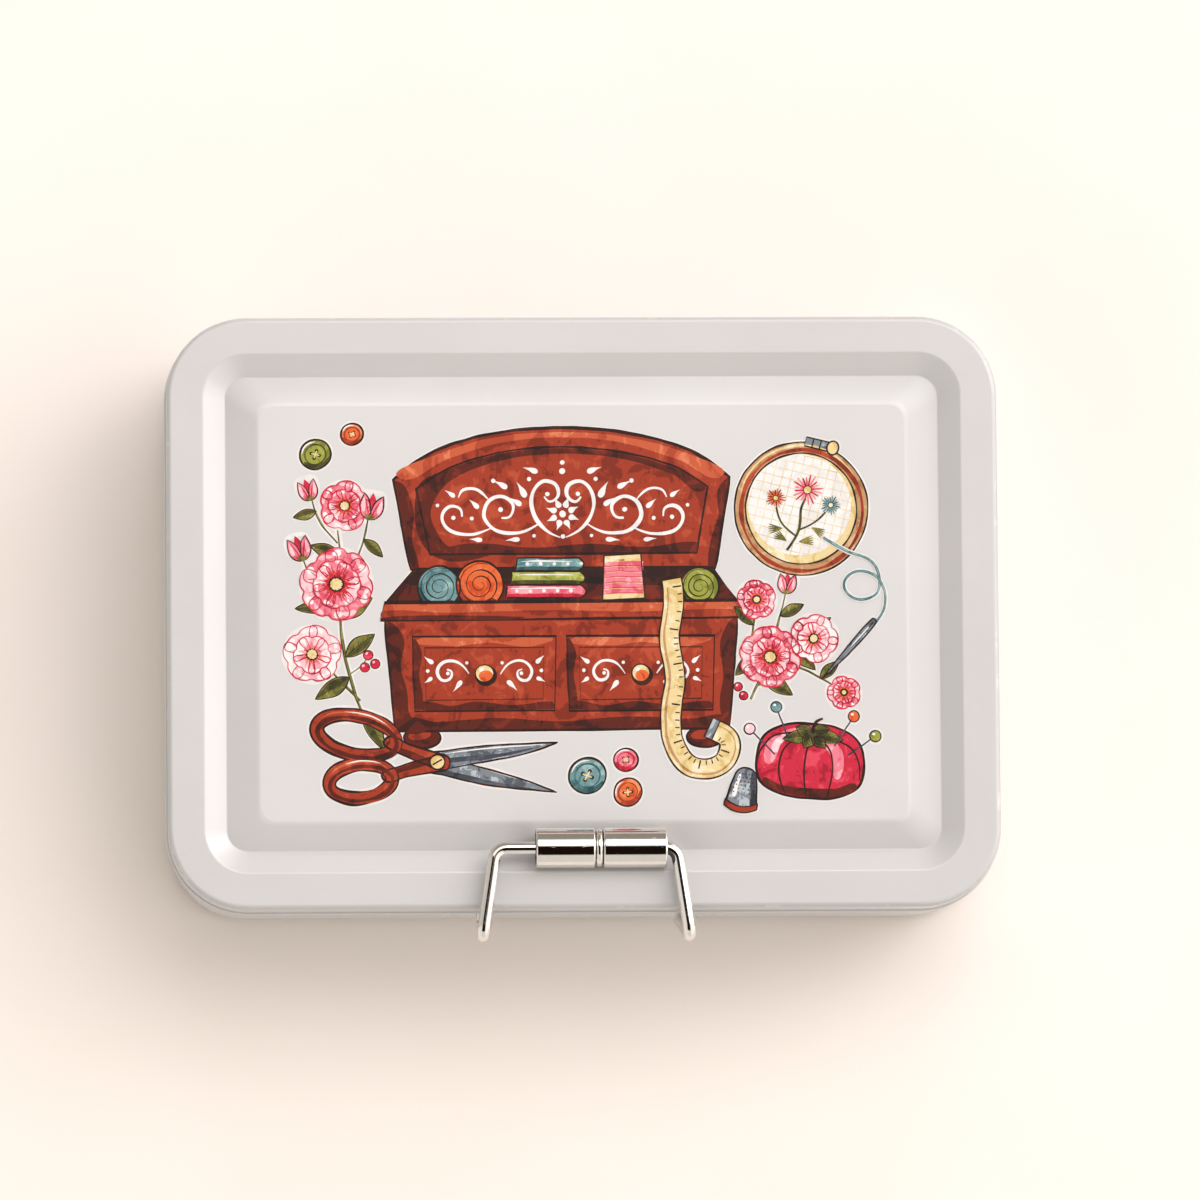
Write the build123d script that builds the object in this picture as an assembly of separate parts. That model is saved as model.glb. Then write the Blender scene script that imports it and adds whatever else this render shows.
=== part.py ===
"""Hinged sewing tin: a pressed lid with a raised centre panel, a straight-sided
box body, and a sprung wire bail with two sleeves that drops over the front rim.

Frame: origin at the centre of the flat underside, +X to the right seen from the
front, +Y to the back (hinge side), +Z up.  All dimensions in millimetres."""
import math
import os
from build123d import *

os.makedirs("parts", exist_ok=True)

# ---------------------------------------------------------------- driving sizes
LENGTH = 190.0        # lid, left to right
DEPTH = 135.5         # lid, front to back
HEIGHT = 48.0         # closed tin, floor to lid rim
LID_R = 18.3          # lid corner radius in plan
SHEET = 0.4           # painted sheet steel

SKIRT = 11.0          # lid skirt height
LID_EDGE_R = 1.2      # rolled top edge of the lid
RIM_W = 8.4           # flat rim, edge to slope
SLOPE_W = 5.0         # width of the slope down to the channel
CHANNEL = 3.0         # channel depth below the rim
PANEL_DROP = 1.3      # centre panel below the rim
BEVEL_X = 21.0        # lid edge to panel, left and right
BEVEL_Y = 19.9        # lid edge to panel, front and back
PANEL_R = 4.0         # corner radius of the centre panel
HEM_OUT = 0.45        # hem bead stands proud of the skirt
HEM_IN = 0.50
HEM_H = 1.0

WALL_GAP = 0.8        # body wall outside, inside the lid edge
NECK = 0.5            # the wall steps in under the skirt, so the skirt clears it as it swings
NECK_Z = HEIGHT - 12.1
NECK_H = 0.6
CURL = 1.8            # curled top edge of the body
LID_SEAT = 0.08       # air between curl and lid underside
WALL_FOOT = 0.8       # underside of the wall's turned-in flange
FOOT_R = 1.5          # bottom edge radius of the wall
FLANGE = 5.0          # turned-in flange width
FOOT_IN = 9.0         # stacking foot, inset from the wall
CRIMP = 2.1           # crimp bead that holds the bottom panel

HINGE_X = 52.0        # hinge centres, left and right
HINGE_Y = 68.2        # hinge axis, close enough to the wall to hide under the lid's edge
HINGE_Z = HEIGHT - 15.4
KNUCKLE_R = 1.14
KNUCKLE_BORE = 0.76
HINGE_PIN_R = 0.7
LID_KNUCKLE_L = 12.0
BODY_KNUCKLE_L = 6.0
KNUCKLE_GAP = 0.2
LIP_REACH = 1.337     # free edge of the lid's curl, which stops the lid
LIP_ANGLE = -37.0

WIRE_R = 1.5          # bail wire
SLEEVE_R = 4.58
SLEEVE_WALL = 0.6
SLEEVE_LEFT_L = 13.5
SLEEVE_RIGHT_L = 14.5
RING_R = 4.38
RING_L = 1.7
SPIN_GAP = 0.08
BORE_R = 1.58         # running bore on the wire
BAIL_Y = -54.15       # sleeve axis over the front channel
BAIL_Z = HEIGHT + 2.4
BAIL_HALF = 20.61     # bar axis meets leg axis
TIP_HALF = 23.72
TIP_Y = -74.6
PIVOT_HALF = 22.0
PIVOT_Y = -69.05
PIVOT_Z = HEIGHT - 16.4
LUG_T = 0.6
LUG_R = 2.35
LUG_BORE = 1.55
RIVET_R = 0.9
RIVET_HEAD_R = 1.6


# -------------------------------------------------------------------- utilities
def rrect(half_x, half_y, r, z):
    """Rounded rectangle face at height z."""
    return Pos(0, 0, z) * RectangleRounded(2 * half_x, 2 * half_y, r)


def slab(inset, z0, z1, base_x=LENGTH / 2, base_y=DEPTH / 2, base_r=LID_R):
    return extrude(rrect(base_x - inset, base_y - inset, base_r - inset, z0), z1 - z0)


def taper(a, b):
    """Ruled solid between two rounded rectangles (half_x, half_y, r, z)."""
    return loft([rrect(*a), rrect(*b)], ruled=True)


def edges_at(solid, z, tol=0.02):
    return [e for e in solid.edges()
            if abs(e.bounding_box().min.Z - z) < tol and abs(e.bounding_box().max.Z - z) < tol]


def edges_near(solid, z, half_x, half_y, tol=0.05):
    """Edges of the loop at height z whose plan outline is half_x by half_y."""
    out = []
    for e in edges_at(solid, z):
        m = e @ 0.5
        bx, by = abs(m.X), abs(m.Y)
        on_x = abs(bx - half_x) < tol
        on_y = abs(by - half_y) < tol
        corner = bx < half_x and by < half_y and bx > half_x - 19 and by > half_y - 19
        if on_x or on_y or corner:
            out.append(e)
    return out


def bead(half_x, half_y, r, width, z0, z1, soft):
    """Round-sided ring that follows the rounded outline; width goes inwards."""
    outer = extrude(rrect(half_x, half_y, r, z0), z1 - z0)
    inner = extrude(rrect(half_x - width, half_y - width, r - width, z0 - 1), z1 - z0 + 2)
    ring = outer - inner
    return fillet(edges_at(ring, z0) + edges_at(ring, z1), soft)


def cyl_x(r, x0, x1, y, z):
    """Cylinder along X from x0 to x1."""
    return Pos((x0 + x1) / 2, y, z) * Rot(0, 90, 0) * Cylinder(r, abs(x1 - x0))


def cyl_y(r, y0, y1, x, z):
    return Pos(x, (y0 + y1) / 2, z) * Rot(90, 0, 0) * Cylinder(r, abs(y1 - y0))


def block(x0, x1, y0, y1, z0, z1):
    return Pos((x0 + x1) / 2, (y0 + y1) / 2, (z0 + z1) / 2) * Box(x1 - x0, y1 - y0, z1 - z0)


def as_solid(shape):
    s = shape.solids()
    return s[0] if len(s) == 1 else Compound(children=list(s))


# -------------------------------------------------- lid: pressed panel and skirt
X2, Y2 = LENGTH / 2, DEPTH / 2
SLOPE_IN = RIM_W + SLOPE_W


def offset_line(p, q, t):
    """Line p-q (inset, z) moved t to its underside."""
    dx, dz = q[0] - p[0], q[1] - p[1]
    n = math.hypot(dx, dz)
    return (p[0] + dz / n * t, p[1] - dx / n * t), (dx / n, dz / n)


def meet(l1, l2):
    (x1, z1), (a1, b1) = l1
    (x2, z2), (a2, b2) = l2
    det = a1 * -b2 + a2 * b1
    s = ((x2 - x1) * -b2 + a2 * (z2 - z1)) / det
    return x1 + s * a1, z1 + s * b1


def lid_profile(t, bevel):
    """Inset and height of the profile corners, t below the outer face."""
    pts = [(0, HEIGHT), (RIM_W, HEIGHT), (SLOPE_IN, HEIGHT - CHANNEL),
           (bevel, HEIGHT - PANEL_DROP), (bevel + 20, HEIGHT - PANEL_DROP)]
    lines = [offset_line(pts[i], pts[i + 1], t) for i in range(4)]
    return meet(lines[0], lines[1]), meet(lines[1], lines[2]), meet(lines[2], lines[3])


def lid_form(t, z_low):
    """Solid bounded above by the pressed face, moved t inwards."""
    (ax, az), (bx_, bz), (cx, cz) = lid_profile(t, BEVEL_X)
    (_, _), (by_, bz2), (cy, cz2) = lid_profile(t, BEVEL_Y)
    b_in, b_z = (bx_ + by_) / 2, (bz + bz2) / 2
    top = HEIGHT - t
    body = slab(t, z_low, top)
    body = fillet(edges_at(body, top), LID_EDGE_R - t)
    run = (b_in - ax) / (az - b_z)
    lift = 1.5
    pocket = taper((X2 - ax + run * lift, Y2 - ax + run * lift, LID_R - ax + run * lift, az + lift),
                   (X2 - b_in, Y2 - b_in, LID_R - b_in, b_z))
    island = taper((X2 - b_in, Y2 - b_in, LID_R - b_in, b_z),
                   (X2 - cx, Y2 - cy, PANEL_R, cz))
    form = body - pocket + island
    form = fillet(edges_near(form, az, X2 - ax, Y2 - ax), 0.9 - t)
    form = fillet(edges_near(form, b_z, X2 - b_in, Y2 - b_in), 0.45 + t)
    form = fillet(edges_near(form, cz, X2 - cx, Y2 - cy), 3.0 - t)
    return form


skirt_z = HEIGHT - SKIRT
lid_shell = lid_form(0, skirt_z) - lid_form(SHEET, skirt_z - 5)
lid_shell += bead(X2 + HEM_OUT, Y2 + HEM_OUT, LID_R + HEM_OUT, HEM_OUT + HEM_IN,
                  skirt_z, skirt_z + HEM_H, 0.44)
for side in (-1, 1):
    x0, x1 = side * HINGE_X - LID_KNUCKLE_L / 2, side * HINGE_X + LID_KNUCKLE_L / 2
    tab = block(x0, x1, Y2 - SHEET, Y2, HINGE_Z, skirt_z + 0.6)
    knuckle = cyl_x(KNUCKLE_R, x0, x1, HINGE_Y, HINGE_Z)
    bore = cyl_x(KNUCKLE_BORE, x0 - 1, x1 + 1, HINGE_Y, HINGE_Z)
    lip = block(x0, x1, 0.95, LIP_REACH, -0.2, 0.2)
    lip = Pos(0, HINGE_Y, HINGE_Z) * Rot(LIP_ANGLE, 0, 0) * lip
    lid_shell += (tab + knuckle + lip) - bore

# ------------------------------------------------------------- body wall, bottom
WX, WY, WR = X2 - WALL_GAP, Y2 - WALL_GAP, LID_R - WALL_GAP
wall_top = HEIGHT - SHEET - LID_SEAT


def wall_slab(inset, z0, z1):
    return slab(inset, z0, z1, WX, WY, WR)


def necked(inset, z0, z1, drop):
    """Solid of the wall's outline, stepped in at the neck."""
    low, high = NECK_Z - drop, NECK_Z - drop + NECK_H
    return wall_slab(inset, z0, low) + wall_slab(inset + NECK, high, z1) + \
        taper((WX - inset, WY - inset, WR - inset, low),
              (WX - inset - NECK, WY - inset - NECK, WR - inset - NECK, high))


outer = necked(0, WALL_FOOT, wall_top - CURL / 2, 0)
outer = fillet(edges_at(outer, WALL_FOOT), FOOT_R)
inner = necked(SHEET, WALL_FOOT + SHEET, wall_top + 5, 0.12)
inner = fillet(edges_at(inner, WALL_FOOT + SHEET), FOOT_R - SHEET)
body_wall = outer - inner - wall_slab(FLANGE, -1, 5)
body_wall += bead(WX - NECK, WY - NECK, WR - NECK, CURL, wall_top - CURL, wall_top, 0.88)
body_wall += bead(WX - 0.2, WY - 0.2, WR - 0.2, CRIMP - 0.2,
                  WALL_FOOT + 2 * SHEET, WALL_FOOT + 2 * SHEET + 1.1, 0.5)

plate_z = WALL_FOOT + SHEET
bottom_panel = wall_slab(FOOT_R + 0.06, plate_z, plate_z + SHEET)
bottom_panel += taper((WX - FOOT_IN + 0.7, WY - FOOT_IN + 0.7, WR - FOOT_IN + 0.7, plate_z + SHEET),
                      (WX - FOOT_IN - 0.7, WY - FOOT_IN - 0.7, WR - FOOT_IN - 0.7, 0))
dish_top = plate_z + SHEET
bottom_panel -= taper((WX - FOOT_IN + 0.45, WY - FOOT_IN + 0.45, WR - FOOT_IN + 0.45, dish_top + 0.02),
                      (WX - FOOT_IN - 0.85, WY - FOOT_IN - 0.85, WR - FOOT_IN - 0.85, SHEET))

# --------------------------------------------------------------------- rear hinges
leaf_z0, leaf_z1 = HINGE_Z - 13.0, HINGE_Z + 0.4
leaf_half = LID_KNUCKLE_L / 2 + KNUCKLE_GAP + BODY_KNUCKLE_L
hinge_leaves, hinge_pins = {}, {}
hinge_rivets = []
wall_face = WY
for name, side in (("left", -1), ("right", 1)):
    cx = side * HINGE_X
    plate = block(cx - leaf_half, cx + leaf_half, wall_face, wall_face + SHEET, leaf_z0, leaf_z1)
    plate = fillet([e for e in plate.edges()
                    if abs((e @ 0.5).Z - leaf_z0) < 0.01 and abs(abs((e @ 0.5).X - cx) - leaf_half) < 0.01], 2.5)
    gap = LID_KNUCKLE_L / 2 + KNUCKLE_GAP
    leaf = plate - block(cx - gap, cx + gap, wall_face - 1, wall_face + 1, HINGE_Z - 1.6, leaf_z1 + 1)
    for s in (-1, 1):
        a, b = sorted((cx + s * gap, cx + s * leaf_half))
        leaf += cyl_x(KNUCKLE_R, a, b, HINGE_Y, HINGE_Z)
        leaf += block(a, b, wall_face, HINGE_Y - 0.8, HINGE_Z - 0.9, HINGE_Z)
        leaf -= cyl_x(KNUCKLE_BORE, a - 0.1, b + 0.1, HINGE_Y, HINGE_Z)
    for s in (-1, 1):
        rx, rz = cx + s * 6.5, HINGE_Z - 8.0
        leaf -= cyl_y(RIVET_R, wall_face - 1, wall_face + 2, rx, rz)
        body_wall -= cyl_y(RIVET_R, wall_face - 2, wall_face + 1, rx, rz)
        rivet = cyl_y(RIVET_R, wall_face - SHEET - 0.1, wall_face + SHEET + 0.1, rx, rz)
        head = cyl_y(RIVET_HEAD_R, wall_face + SHEET, wall_face + SHEET + 0.7, rx, rz)
        head = fillet(head.edges().filter_by(GeomType.CIRCLE).sort_by(Axis.Y)[-1], 0.5)
        tail = cyl_y(RIVET_HEAD_R - 0.2, wall_face - SHEET - 0.5, wall_face - SHEET, rx, rz)
        tail = fillet(tail.edges().filter_by(GeomType.CIRCLE).sort_by(Axis.Y)[0], 0.3)
        hinge_rivets.append(as_solid(rivet + head + tail))
    hinge_leaves[name] = leaf
    pin = cyl_x(HINGE_PIN_R, cx - leaf_half - 0.05, cx + leaf_half + 0.05, HINGE_Y, HINGE_Z)
    for s in (-1, 1):
        a, b = sorted((cx + s * (leaf_half + 0.02), cx + s * (leaf_half + 0.62)))
        cap = cyl_x(1.05, a, b, HINGE_Y, HINGE_Z)
        rim = cap.edges().filter_by(GeomType.CIRCLE).sort_by(Axis.X)[-1 if s > 0 else 0]
        pin += fillet(rim, 0.3)
    hinge_pins[name] = pin

# ------------------------------------------------------------ front lugs and bail
lugs = {}
lug_rivets = []
front = -WY
ear_x0 = PIVOT_HALF + 1.75
for name, side in (("left", -1), ("right", 1)):
    a, b = sorted((side * ear_x0, side * (ear_x0 + LUG_T)))
    ear = cyl_x(LUG_R, a, b, PIVOT_Y, PIVOT_Z)
    web = Plane.YZ.offset(a) * Polyline((PIVOT_Y - 0.5, PIVOT_Z + 2.29), (front, PIVOT_Z + 4.2),
                                        (front, PIVOT_Z - 4.2), (PIVOT_Y - 0.5, PIVOT_Z - 2.29), close=True)
    ear += extrude(make_face(web), amount=LUG_T, dir=(1, 0, 0))
    ear -= block(a - 1, b + 1, front, front + 4, PIVOT_Z - 5, PIVOT_Z + 5)
    c, d = sorted((side * ear_x0, side * (ear_x0 + 11.0)))
    foot = block(c, d, front - 0.6, front, PIVOT_Z - 4.2, PIVOT_Z + 4.2)
    far = side * (ear_x0 + 11.0)
    foot = fillet([e for e in foot.edges()
                   if abs((e @ 0.5).X - far) < 0.01 and abs(abs((e @ 0.5).Z - PIVOT_Z) - 4.2) < 0.01], 2.2)
    e, g = sorted((side * (ear_x0 + LUG_T), side * (ear_x0 + LUG_T + 1.3)))
    foot -= block(e, g, front - 2, front + 1, PIVOT_Z - 2.4, PIVOT_Z + 2.4)
    lug = ear + foot - cyl_x(LUG_BORE, a - 1, b + 1, PIVOT_Y, PIVOT_Z)
    for rz in (-2.0, 2.0):
        rx = side * (ear_x0 + 7.3)
        z = PIVOT_Z + rz
        lug -= cyl_y(RIVET_R - 0.1, front - 2, front + 1, rx, z)
        body_wall -= cyl_y(RIVET_R - 0.1, front - 1, front + 2, rx, z)
        rivet = cyl_y(RIVET_R - 0.1, front - 0.7, front + SHEET + 0.1, rx, z)
        head = cyl_y(RIVET_HEAD_R - 0.15, front - 1.1, front - 0.6, rx, z)
        head = fillet(head.edges().filter_by(GeomType.CIRCLE).sort_by(Axis.Y)[0], 0.4)
        tail = cyl_y(RIVET_HEAD_R - 0.3, front + SHEET, front + SHEET + 0.5, rx, z)
        tail = fillet(tail.edges().filter_by(GeomType.CIRCLE).sort_by(Axis.Y)[-1], 0.3)
        lug_rivets.append(as_solid(rivet + head + tail))
    lugs[name] = lug

# wire centreline: bar, bend, leg over the rim, tight tip, return leg, pivot end
tip_z = BAIL_Z
pin_end = ear_x0 + LUG_T + 0.1
half = [(PIVOT_HALF, PIVOT_Y, PIVOT_Z), (TIP_HALF, TIP_Y, tip_z), (BAIL_HALF, BAIL_Y, BAIL_Z)]
route = [(-pin_end, PIVOT_Y, PIVOT_Z)] + [(-x, y, z) for x, y, z in half] \
    + list(reversed(half)) + [(pin_end, PIVOT_Y, PIVOT_Z)]
radii = [1.62, 2.2, 3.0, 3.0, 2.2, 1.62]
path = FilletPolyline(*route, radius=radii, close=False)
start = Plane(origin=path @ 0, z_dir=path % 0)
bail_wire = sweep(start * Circle(WIRE_R), path=path)
ends = [e for e in bail_wire.edges().filter_by(GeomType.CIRCLE) if abs(abs((e @ 0.5).X) - pin_end) < 0.01]
bail_wire = fillet(ends, 0.3)
print("wire volume", bail_wire.volume, "length x section", path.length * math.pi * WIRE_R ** 2)

# sleeves on the bar: chromed tubes on end bushes, with a spacer ring between
bar_bend = BAIL_HALF - 3.0 * math.tan(math.radians(40.7))
group_right = bar_bend + 0.35
right_x0 = group_right - SLEEVE_RIGHT_L
ring_x1 = right_x0 - SPIN_GAP
ring_x0 = ring_x1 - RING_L
left_x1 = ring_x0 - SPIN_GAP
left_x0 = left_x1 - SLEEVE_LEFT_L
print("sleeves", left_x0, left_x1, ring_x0, ring_x1, right_x0, group_right, "bend", bar_bend)


def sleeve(x0, x1):
    tube = cyl_x(SLEEVE_R, x0, x1, BAIL_Y, BAIL_Z)
    tube = fillet(tube.edges().filter_by(GeomType.CIRCLE), 0.45)
    return tube - cyl_x(SLEEVE_R - SLEEVE_WALL, x0 - 1, x1 + 1, BAIL_Y, BAIL_Z)


def bush(x_face, inward):
    x_in = x_face + inward * 3.2
    a, b = sorted((x_face + inward * 0.25, x_in))
    return cyl_x(SLEEVE_R - SLEEVE_WALL, a, b, BAIL_Y, BAIL_Z) - \
        cyl_x(BORE_R, a - 1, b + 1, BAIL_Y, BAIL_Z)


sleeve_left, sleeve_right = sleeve(left_x0, left_x1), sleeve(right_x0, group_right)
bushes_left = [as_solid(bush(left_x0, 1)), as_solid(bush(left_x1, -1))]
bushes_right = [as_solid(bush(right_x0, 1)), as_solid(bush(group_right, -1))]
ring = cyl_x(RING_R, ring_x0, ring_x1, BAIL_Y, BAIL_Z)
ring = fillet(ring.edges().filter_by(GeomType.CIRCLE), 0.8)
centre_ring = ring - cyl_x(BORE_R, ring_x0 - 1, ring_x1 + 1, BAIL_Y, BAIL_Z)

# ------------------------------------------------------------------------- export
parts = {
    "body_wall": body_wall,
    "bottom_panel": bottom_panel,
    "lid_shell": lid_shell,
    "hinge_leaf_left": hinge_leaves["left"],
    "hinge_leaf_right": hinge_leaves["right"],
    "hinge_pin_left": hinge_pins["left"],
    "hinge_pin_right": hinge_pins["right"],
    "hinge_rivets": Compound(children=hinge_rivets),
    "bail_lug_left": lugs["left"],
    "bail_lug_right": lugs["right"],
    "bail_lug_rivets": Compound(children=lug_rivets),
    "bail_wire": bail_wire,
    "sleeve_left": sleeve_left,
    "sleeve_right": sleeve_right,
    "sleeve_bushes_left": Compound(children=bushes_left),
    "sleeve_bushes_right": Compound(children=bushes_right),
    "centre_ring": centre_ring,
}
for node, shape in parts.items():
    shape = as_solid(shape)
    shape.label = node
    export_step(shape, f"parts/{node}.step")
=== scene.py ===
import math

import bmesh
import bpy
from mathutils import Matrix, Vector, noise
from mathutils.geometry import delaunay_2d_cdt


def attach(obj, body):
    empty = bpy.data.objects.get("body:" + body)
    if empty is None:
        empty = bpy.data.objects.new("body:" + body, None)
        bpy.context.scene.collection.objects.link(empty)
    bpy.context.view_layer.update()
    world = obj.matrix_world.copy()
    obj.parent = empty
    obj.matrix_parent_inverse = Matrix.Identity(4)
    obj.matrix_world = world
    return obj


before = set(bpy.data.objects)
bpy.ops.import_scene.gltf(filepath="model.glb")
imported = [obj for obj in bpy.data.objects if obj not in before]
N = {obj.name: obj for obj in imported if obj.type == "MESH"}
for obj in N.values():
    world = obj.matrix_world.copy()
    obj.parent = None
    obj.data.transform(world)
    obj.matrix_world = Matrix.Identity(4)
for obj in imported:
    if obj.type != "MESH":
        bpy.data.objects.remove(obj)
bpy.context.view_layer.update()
MM = 0.001


# ------------------------------------------------------------------ camera

def make_camera():
    tilt, yaw, roll = math.radians(5.29), math.radians(-2.751), math.radians(-0.466)
    target = Vector((3.73, 2.69, 48.0)) * MM
    back = Vector((math.sin(yaw), -math.sin(tilt) * math.cos(yaw), math.cos(tilt) * math.cos(yaw)))
    right = (-back).cross(Vector((0, 1, 0))).normalized()
    up = right.cross(-back)
    r2 = right * math.cos(roll) + up * math.sin(roll)
    u2 = up * math.cos(roll) - right * math.sin(roll)
    data = bpy.data.cameras.new("camera")
    data.sensor_fit = "HORIZONTAL"
    data.sensor_width = 36.0
    data.lens = 11383.0 / 1200.0 * 36.0
    data.clip_start, data.clip_end = 0.05, 50.0
    cam = bpy.data.objects.new("camera", data)
    bpy.context.scene.collection.objects.link(cam)
    place = Matrix((r2, u2, back)).transposed().to_4x4()
    place.translation = target + back * 2.5974
    cam.matrix_world = place
    bpy.context.scene.camera = cam


make_camera()


# ------------------------------------------------------- small node builder

class Nodes:
    """Short names for the nodes that the materials are built from."""

    def __init__(self, tree):
        self.tree = tree

    def add(self, kind, **inputs):
        node = self.tree.nodes.new(kind)
        for key, value in inputs.items():
            self.set(node, key, value)
        return node

    def set(self, node, key, value):
        socket = node.inputs[key] if isinstance(key, int) else node.inputs[key.replace("_", " ")]
        if isinstance(value, bpy.types.NodeSocket):
            self.tree.links.new(value, socket)
        else:
            socket.default_value = value

    def math(self, op, a, b=None, c=None, clamp=False):
        node = self.tree.nodes.new("ShaderNodeMath")
        node.operation = op
        node.use_clamp = clamp
        for i, v in enumerate((a, b, c)):
            if v is not None:
                self.set(node, i, v)
        return node.outputs[0]

    def vec(self, op, a, b=None):
        node = self.tree.nodes.new("ShaderNodeVectorMath")
        node.operation = op
        self.set(node, 0, a)
        if b is not None:
            self.set(node, 1, b)
        return node.outputs[1] if op in ("DOT_PRODUCT", "LENGTH", "DISTANCE") else node.outputs[0]

    def scale(self, a, by):
        node = self.tree.nodes.new("ShaderNodeVectorMath")
        node.operation = "MULTIPLY"
        self.set(node, 0, a)
        node.inputs[1].default_value = by
        return node.outputs[0]

    def split(self, v):
        node = self.tree.nodes.new("ShaderNodeSeparateXYZ")
        self.set(node, 0, v)
        return node.outputs

    def step(self, value, lo, hi, a=0.0, b=1.0):
        """a below lo, b above hi, and smooth between."""
        node = self.tree.nodes.new("ShaderNodeMapRange")
        node.interpolation_type = "SMOOTHSTEP"
        node.clamp = True
        for key, v in (("Value", value), ("From Min", lo), ("From Max", hi), ("To Min", a), ("To Max", b)):
            self.set(node, key, v)
        return node.outputs[0]

    def noise(self, vector, scale, detail=4.0, rough=0.55, distortion=0.0):
        node = self.tree.nodes.new("ShaderNodeTexNoise")
        self.set(node, "Vector", vector)
        self.set(node, "Scale", scale)
        self.set(node, "Detail", detail)
        self.set(node, "Roughness", rough)
        self.set(node, "Distortion", distortion)
        return node.outputs[0]

    def cells(self, vector, scale, feature="F1"):
        node = self.tree.nodes.new("ShaderNodeTexVoronoi")
        node.feature = feature
        self.set(node, "Vector", vector)
        self.set(node, "Scale", scale)
        return node

    def mix(self, factor, a, b, kind="MIX"):
        node = self.tree.nodes.new("ShaderNodeMix")
        node.data_type = "RGBA"
        node.blend_type = kind
        self.set(node, 0, factor)
        self.set(node, 6, a if isinstance(a, bpy.types.NodeSocket) else (*a, 1.0))
        self.set(node, 7, b if isinstance(b, bpy.types.NodeSocket) else (*b, 1.0))
        return node.outputs[2]

    def bump(self, height, strength, distance, normal=None):
        node = self.tree.nodes.new("ShaderNodeBump")
        self.set(node, "Strength", strength)
        self.set(node, "Distance", distance)
        self.set(node, "Height", height)
        if normal is not None:
            self.set(node, "Normal", normal)
        return node.outputs[0]


def material(name):
    mat = bpy.data.materials.new(name)
    mat.use_nodes = True
    tree = mat.node_tree
    tree.nodes.clear()
    n = Nodes(tree)
    out = tree.nodes.new("ShaderNodeOutputMaterial")
    shader = tree.nodes.new("ShaderNodeBsdfPrincipled")
    tree.links.new(shader.outputs[0], out.inputs["Surface"])
    coords = tree.nodes.new("ShaderNodeTexCoord")
    n.p = coords.outputs["Object"]
    n.normal = coords.outputs["Normal"]
    n.shader = shader
    return mat, n


def finish_shader(n, color, metallic, rough, normal, coat=0.0, coat_rough=0.1, specular=0.5):
    s = n.shader
    n.set(s, "Base Color", color if isinstance(color, bpy.types.NodeSocket) else (*color, 1.0))
    n.set(s, "Metallic", metallic)
    n.set(s, "Roughness", rough)
    if normal is not None:
        n.set(s, "Normal", normal)
    s.inputs["Coat Weight"].default_value = coat
    s.inputs["Coat Roughness"].default_value = coat_rough
    s.inputs["Specular IOR Level"].default_value = specular


def srgb(r, g, b):
    """0 to 255 display values to linear."""
    return tuple((c / 255 / 12.92) if c <= 10.31 else ((c / 255 + 0.055) / 1.055) ** 2.4 for c in (r, g, b))


# ---------------------------------------------------------------- materials

def brushed(n, along, scale=700.0, stretch=0.04):
    """Fine parallel lines along one axis, as rolling and polishing leave."""
    s = [scale] * 3
    s["xyz".index(along)] = scale * stretch
    v = n.scale(n.p, tuple(s))
    return n.noise(v, 1.0, 3.0, 0.6)


def tinplate(n):
    """Colour, roughness and height of lacquered tinplate: spangle, rolling lines, faint scuffs."""
    lines = brushed(n, "x")
    cloud = n.noise(n.p, 38.0, 4.0, 0.55)
    scuff = n.noise(n.scale(n.p, (260.0, 1500.0, 1500.0)), 1.0, 2.0, 0.7, 0.4)
    tone = n.mix(cloud, (0.60, 0.575, 0.53), (0.74, 0.715, 0.67))
    tone = n.mix(n.math("MULTIPLY", n.step(lines, 0.35, 0.75), 0.22), tone, (0.47, 0.45, 0.42))
    rough = n.math("ADD", n.step(cloud, 0.25, 0.8, 0.24, 0.38), n.step(scuff, 0.62, 0.72, 0.0, 0.16))
    height = n.math("ADD", n.math("MULTIPLY", lines, 0.5), n.math("MULTIPLY", cloud, 0.8))
    return tone, rough, height


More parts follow.
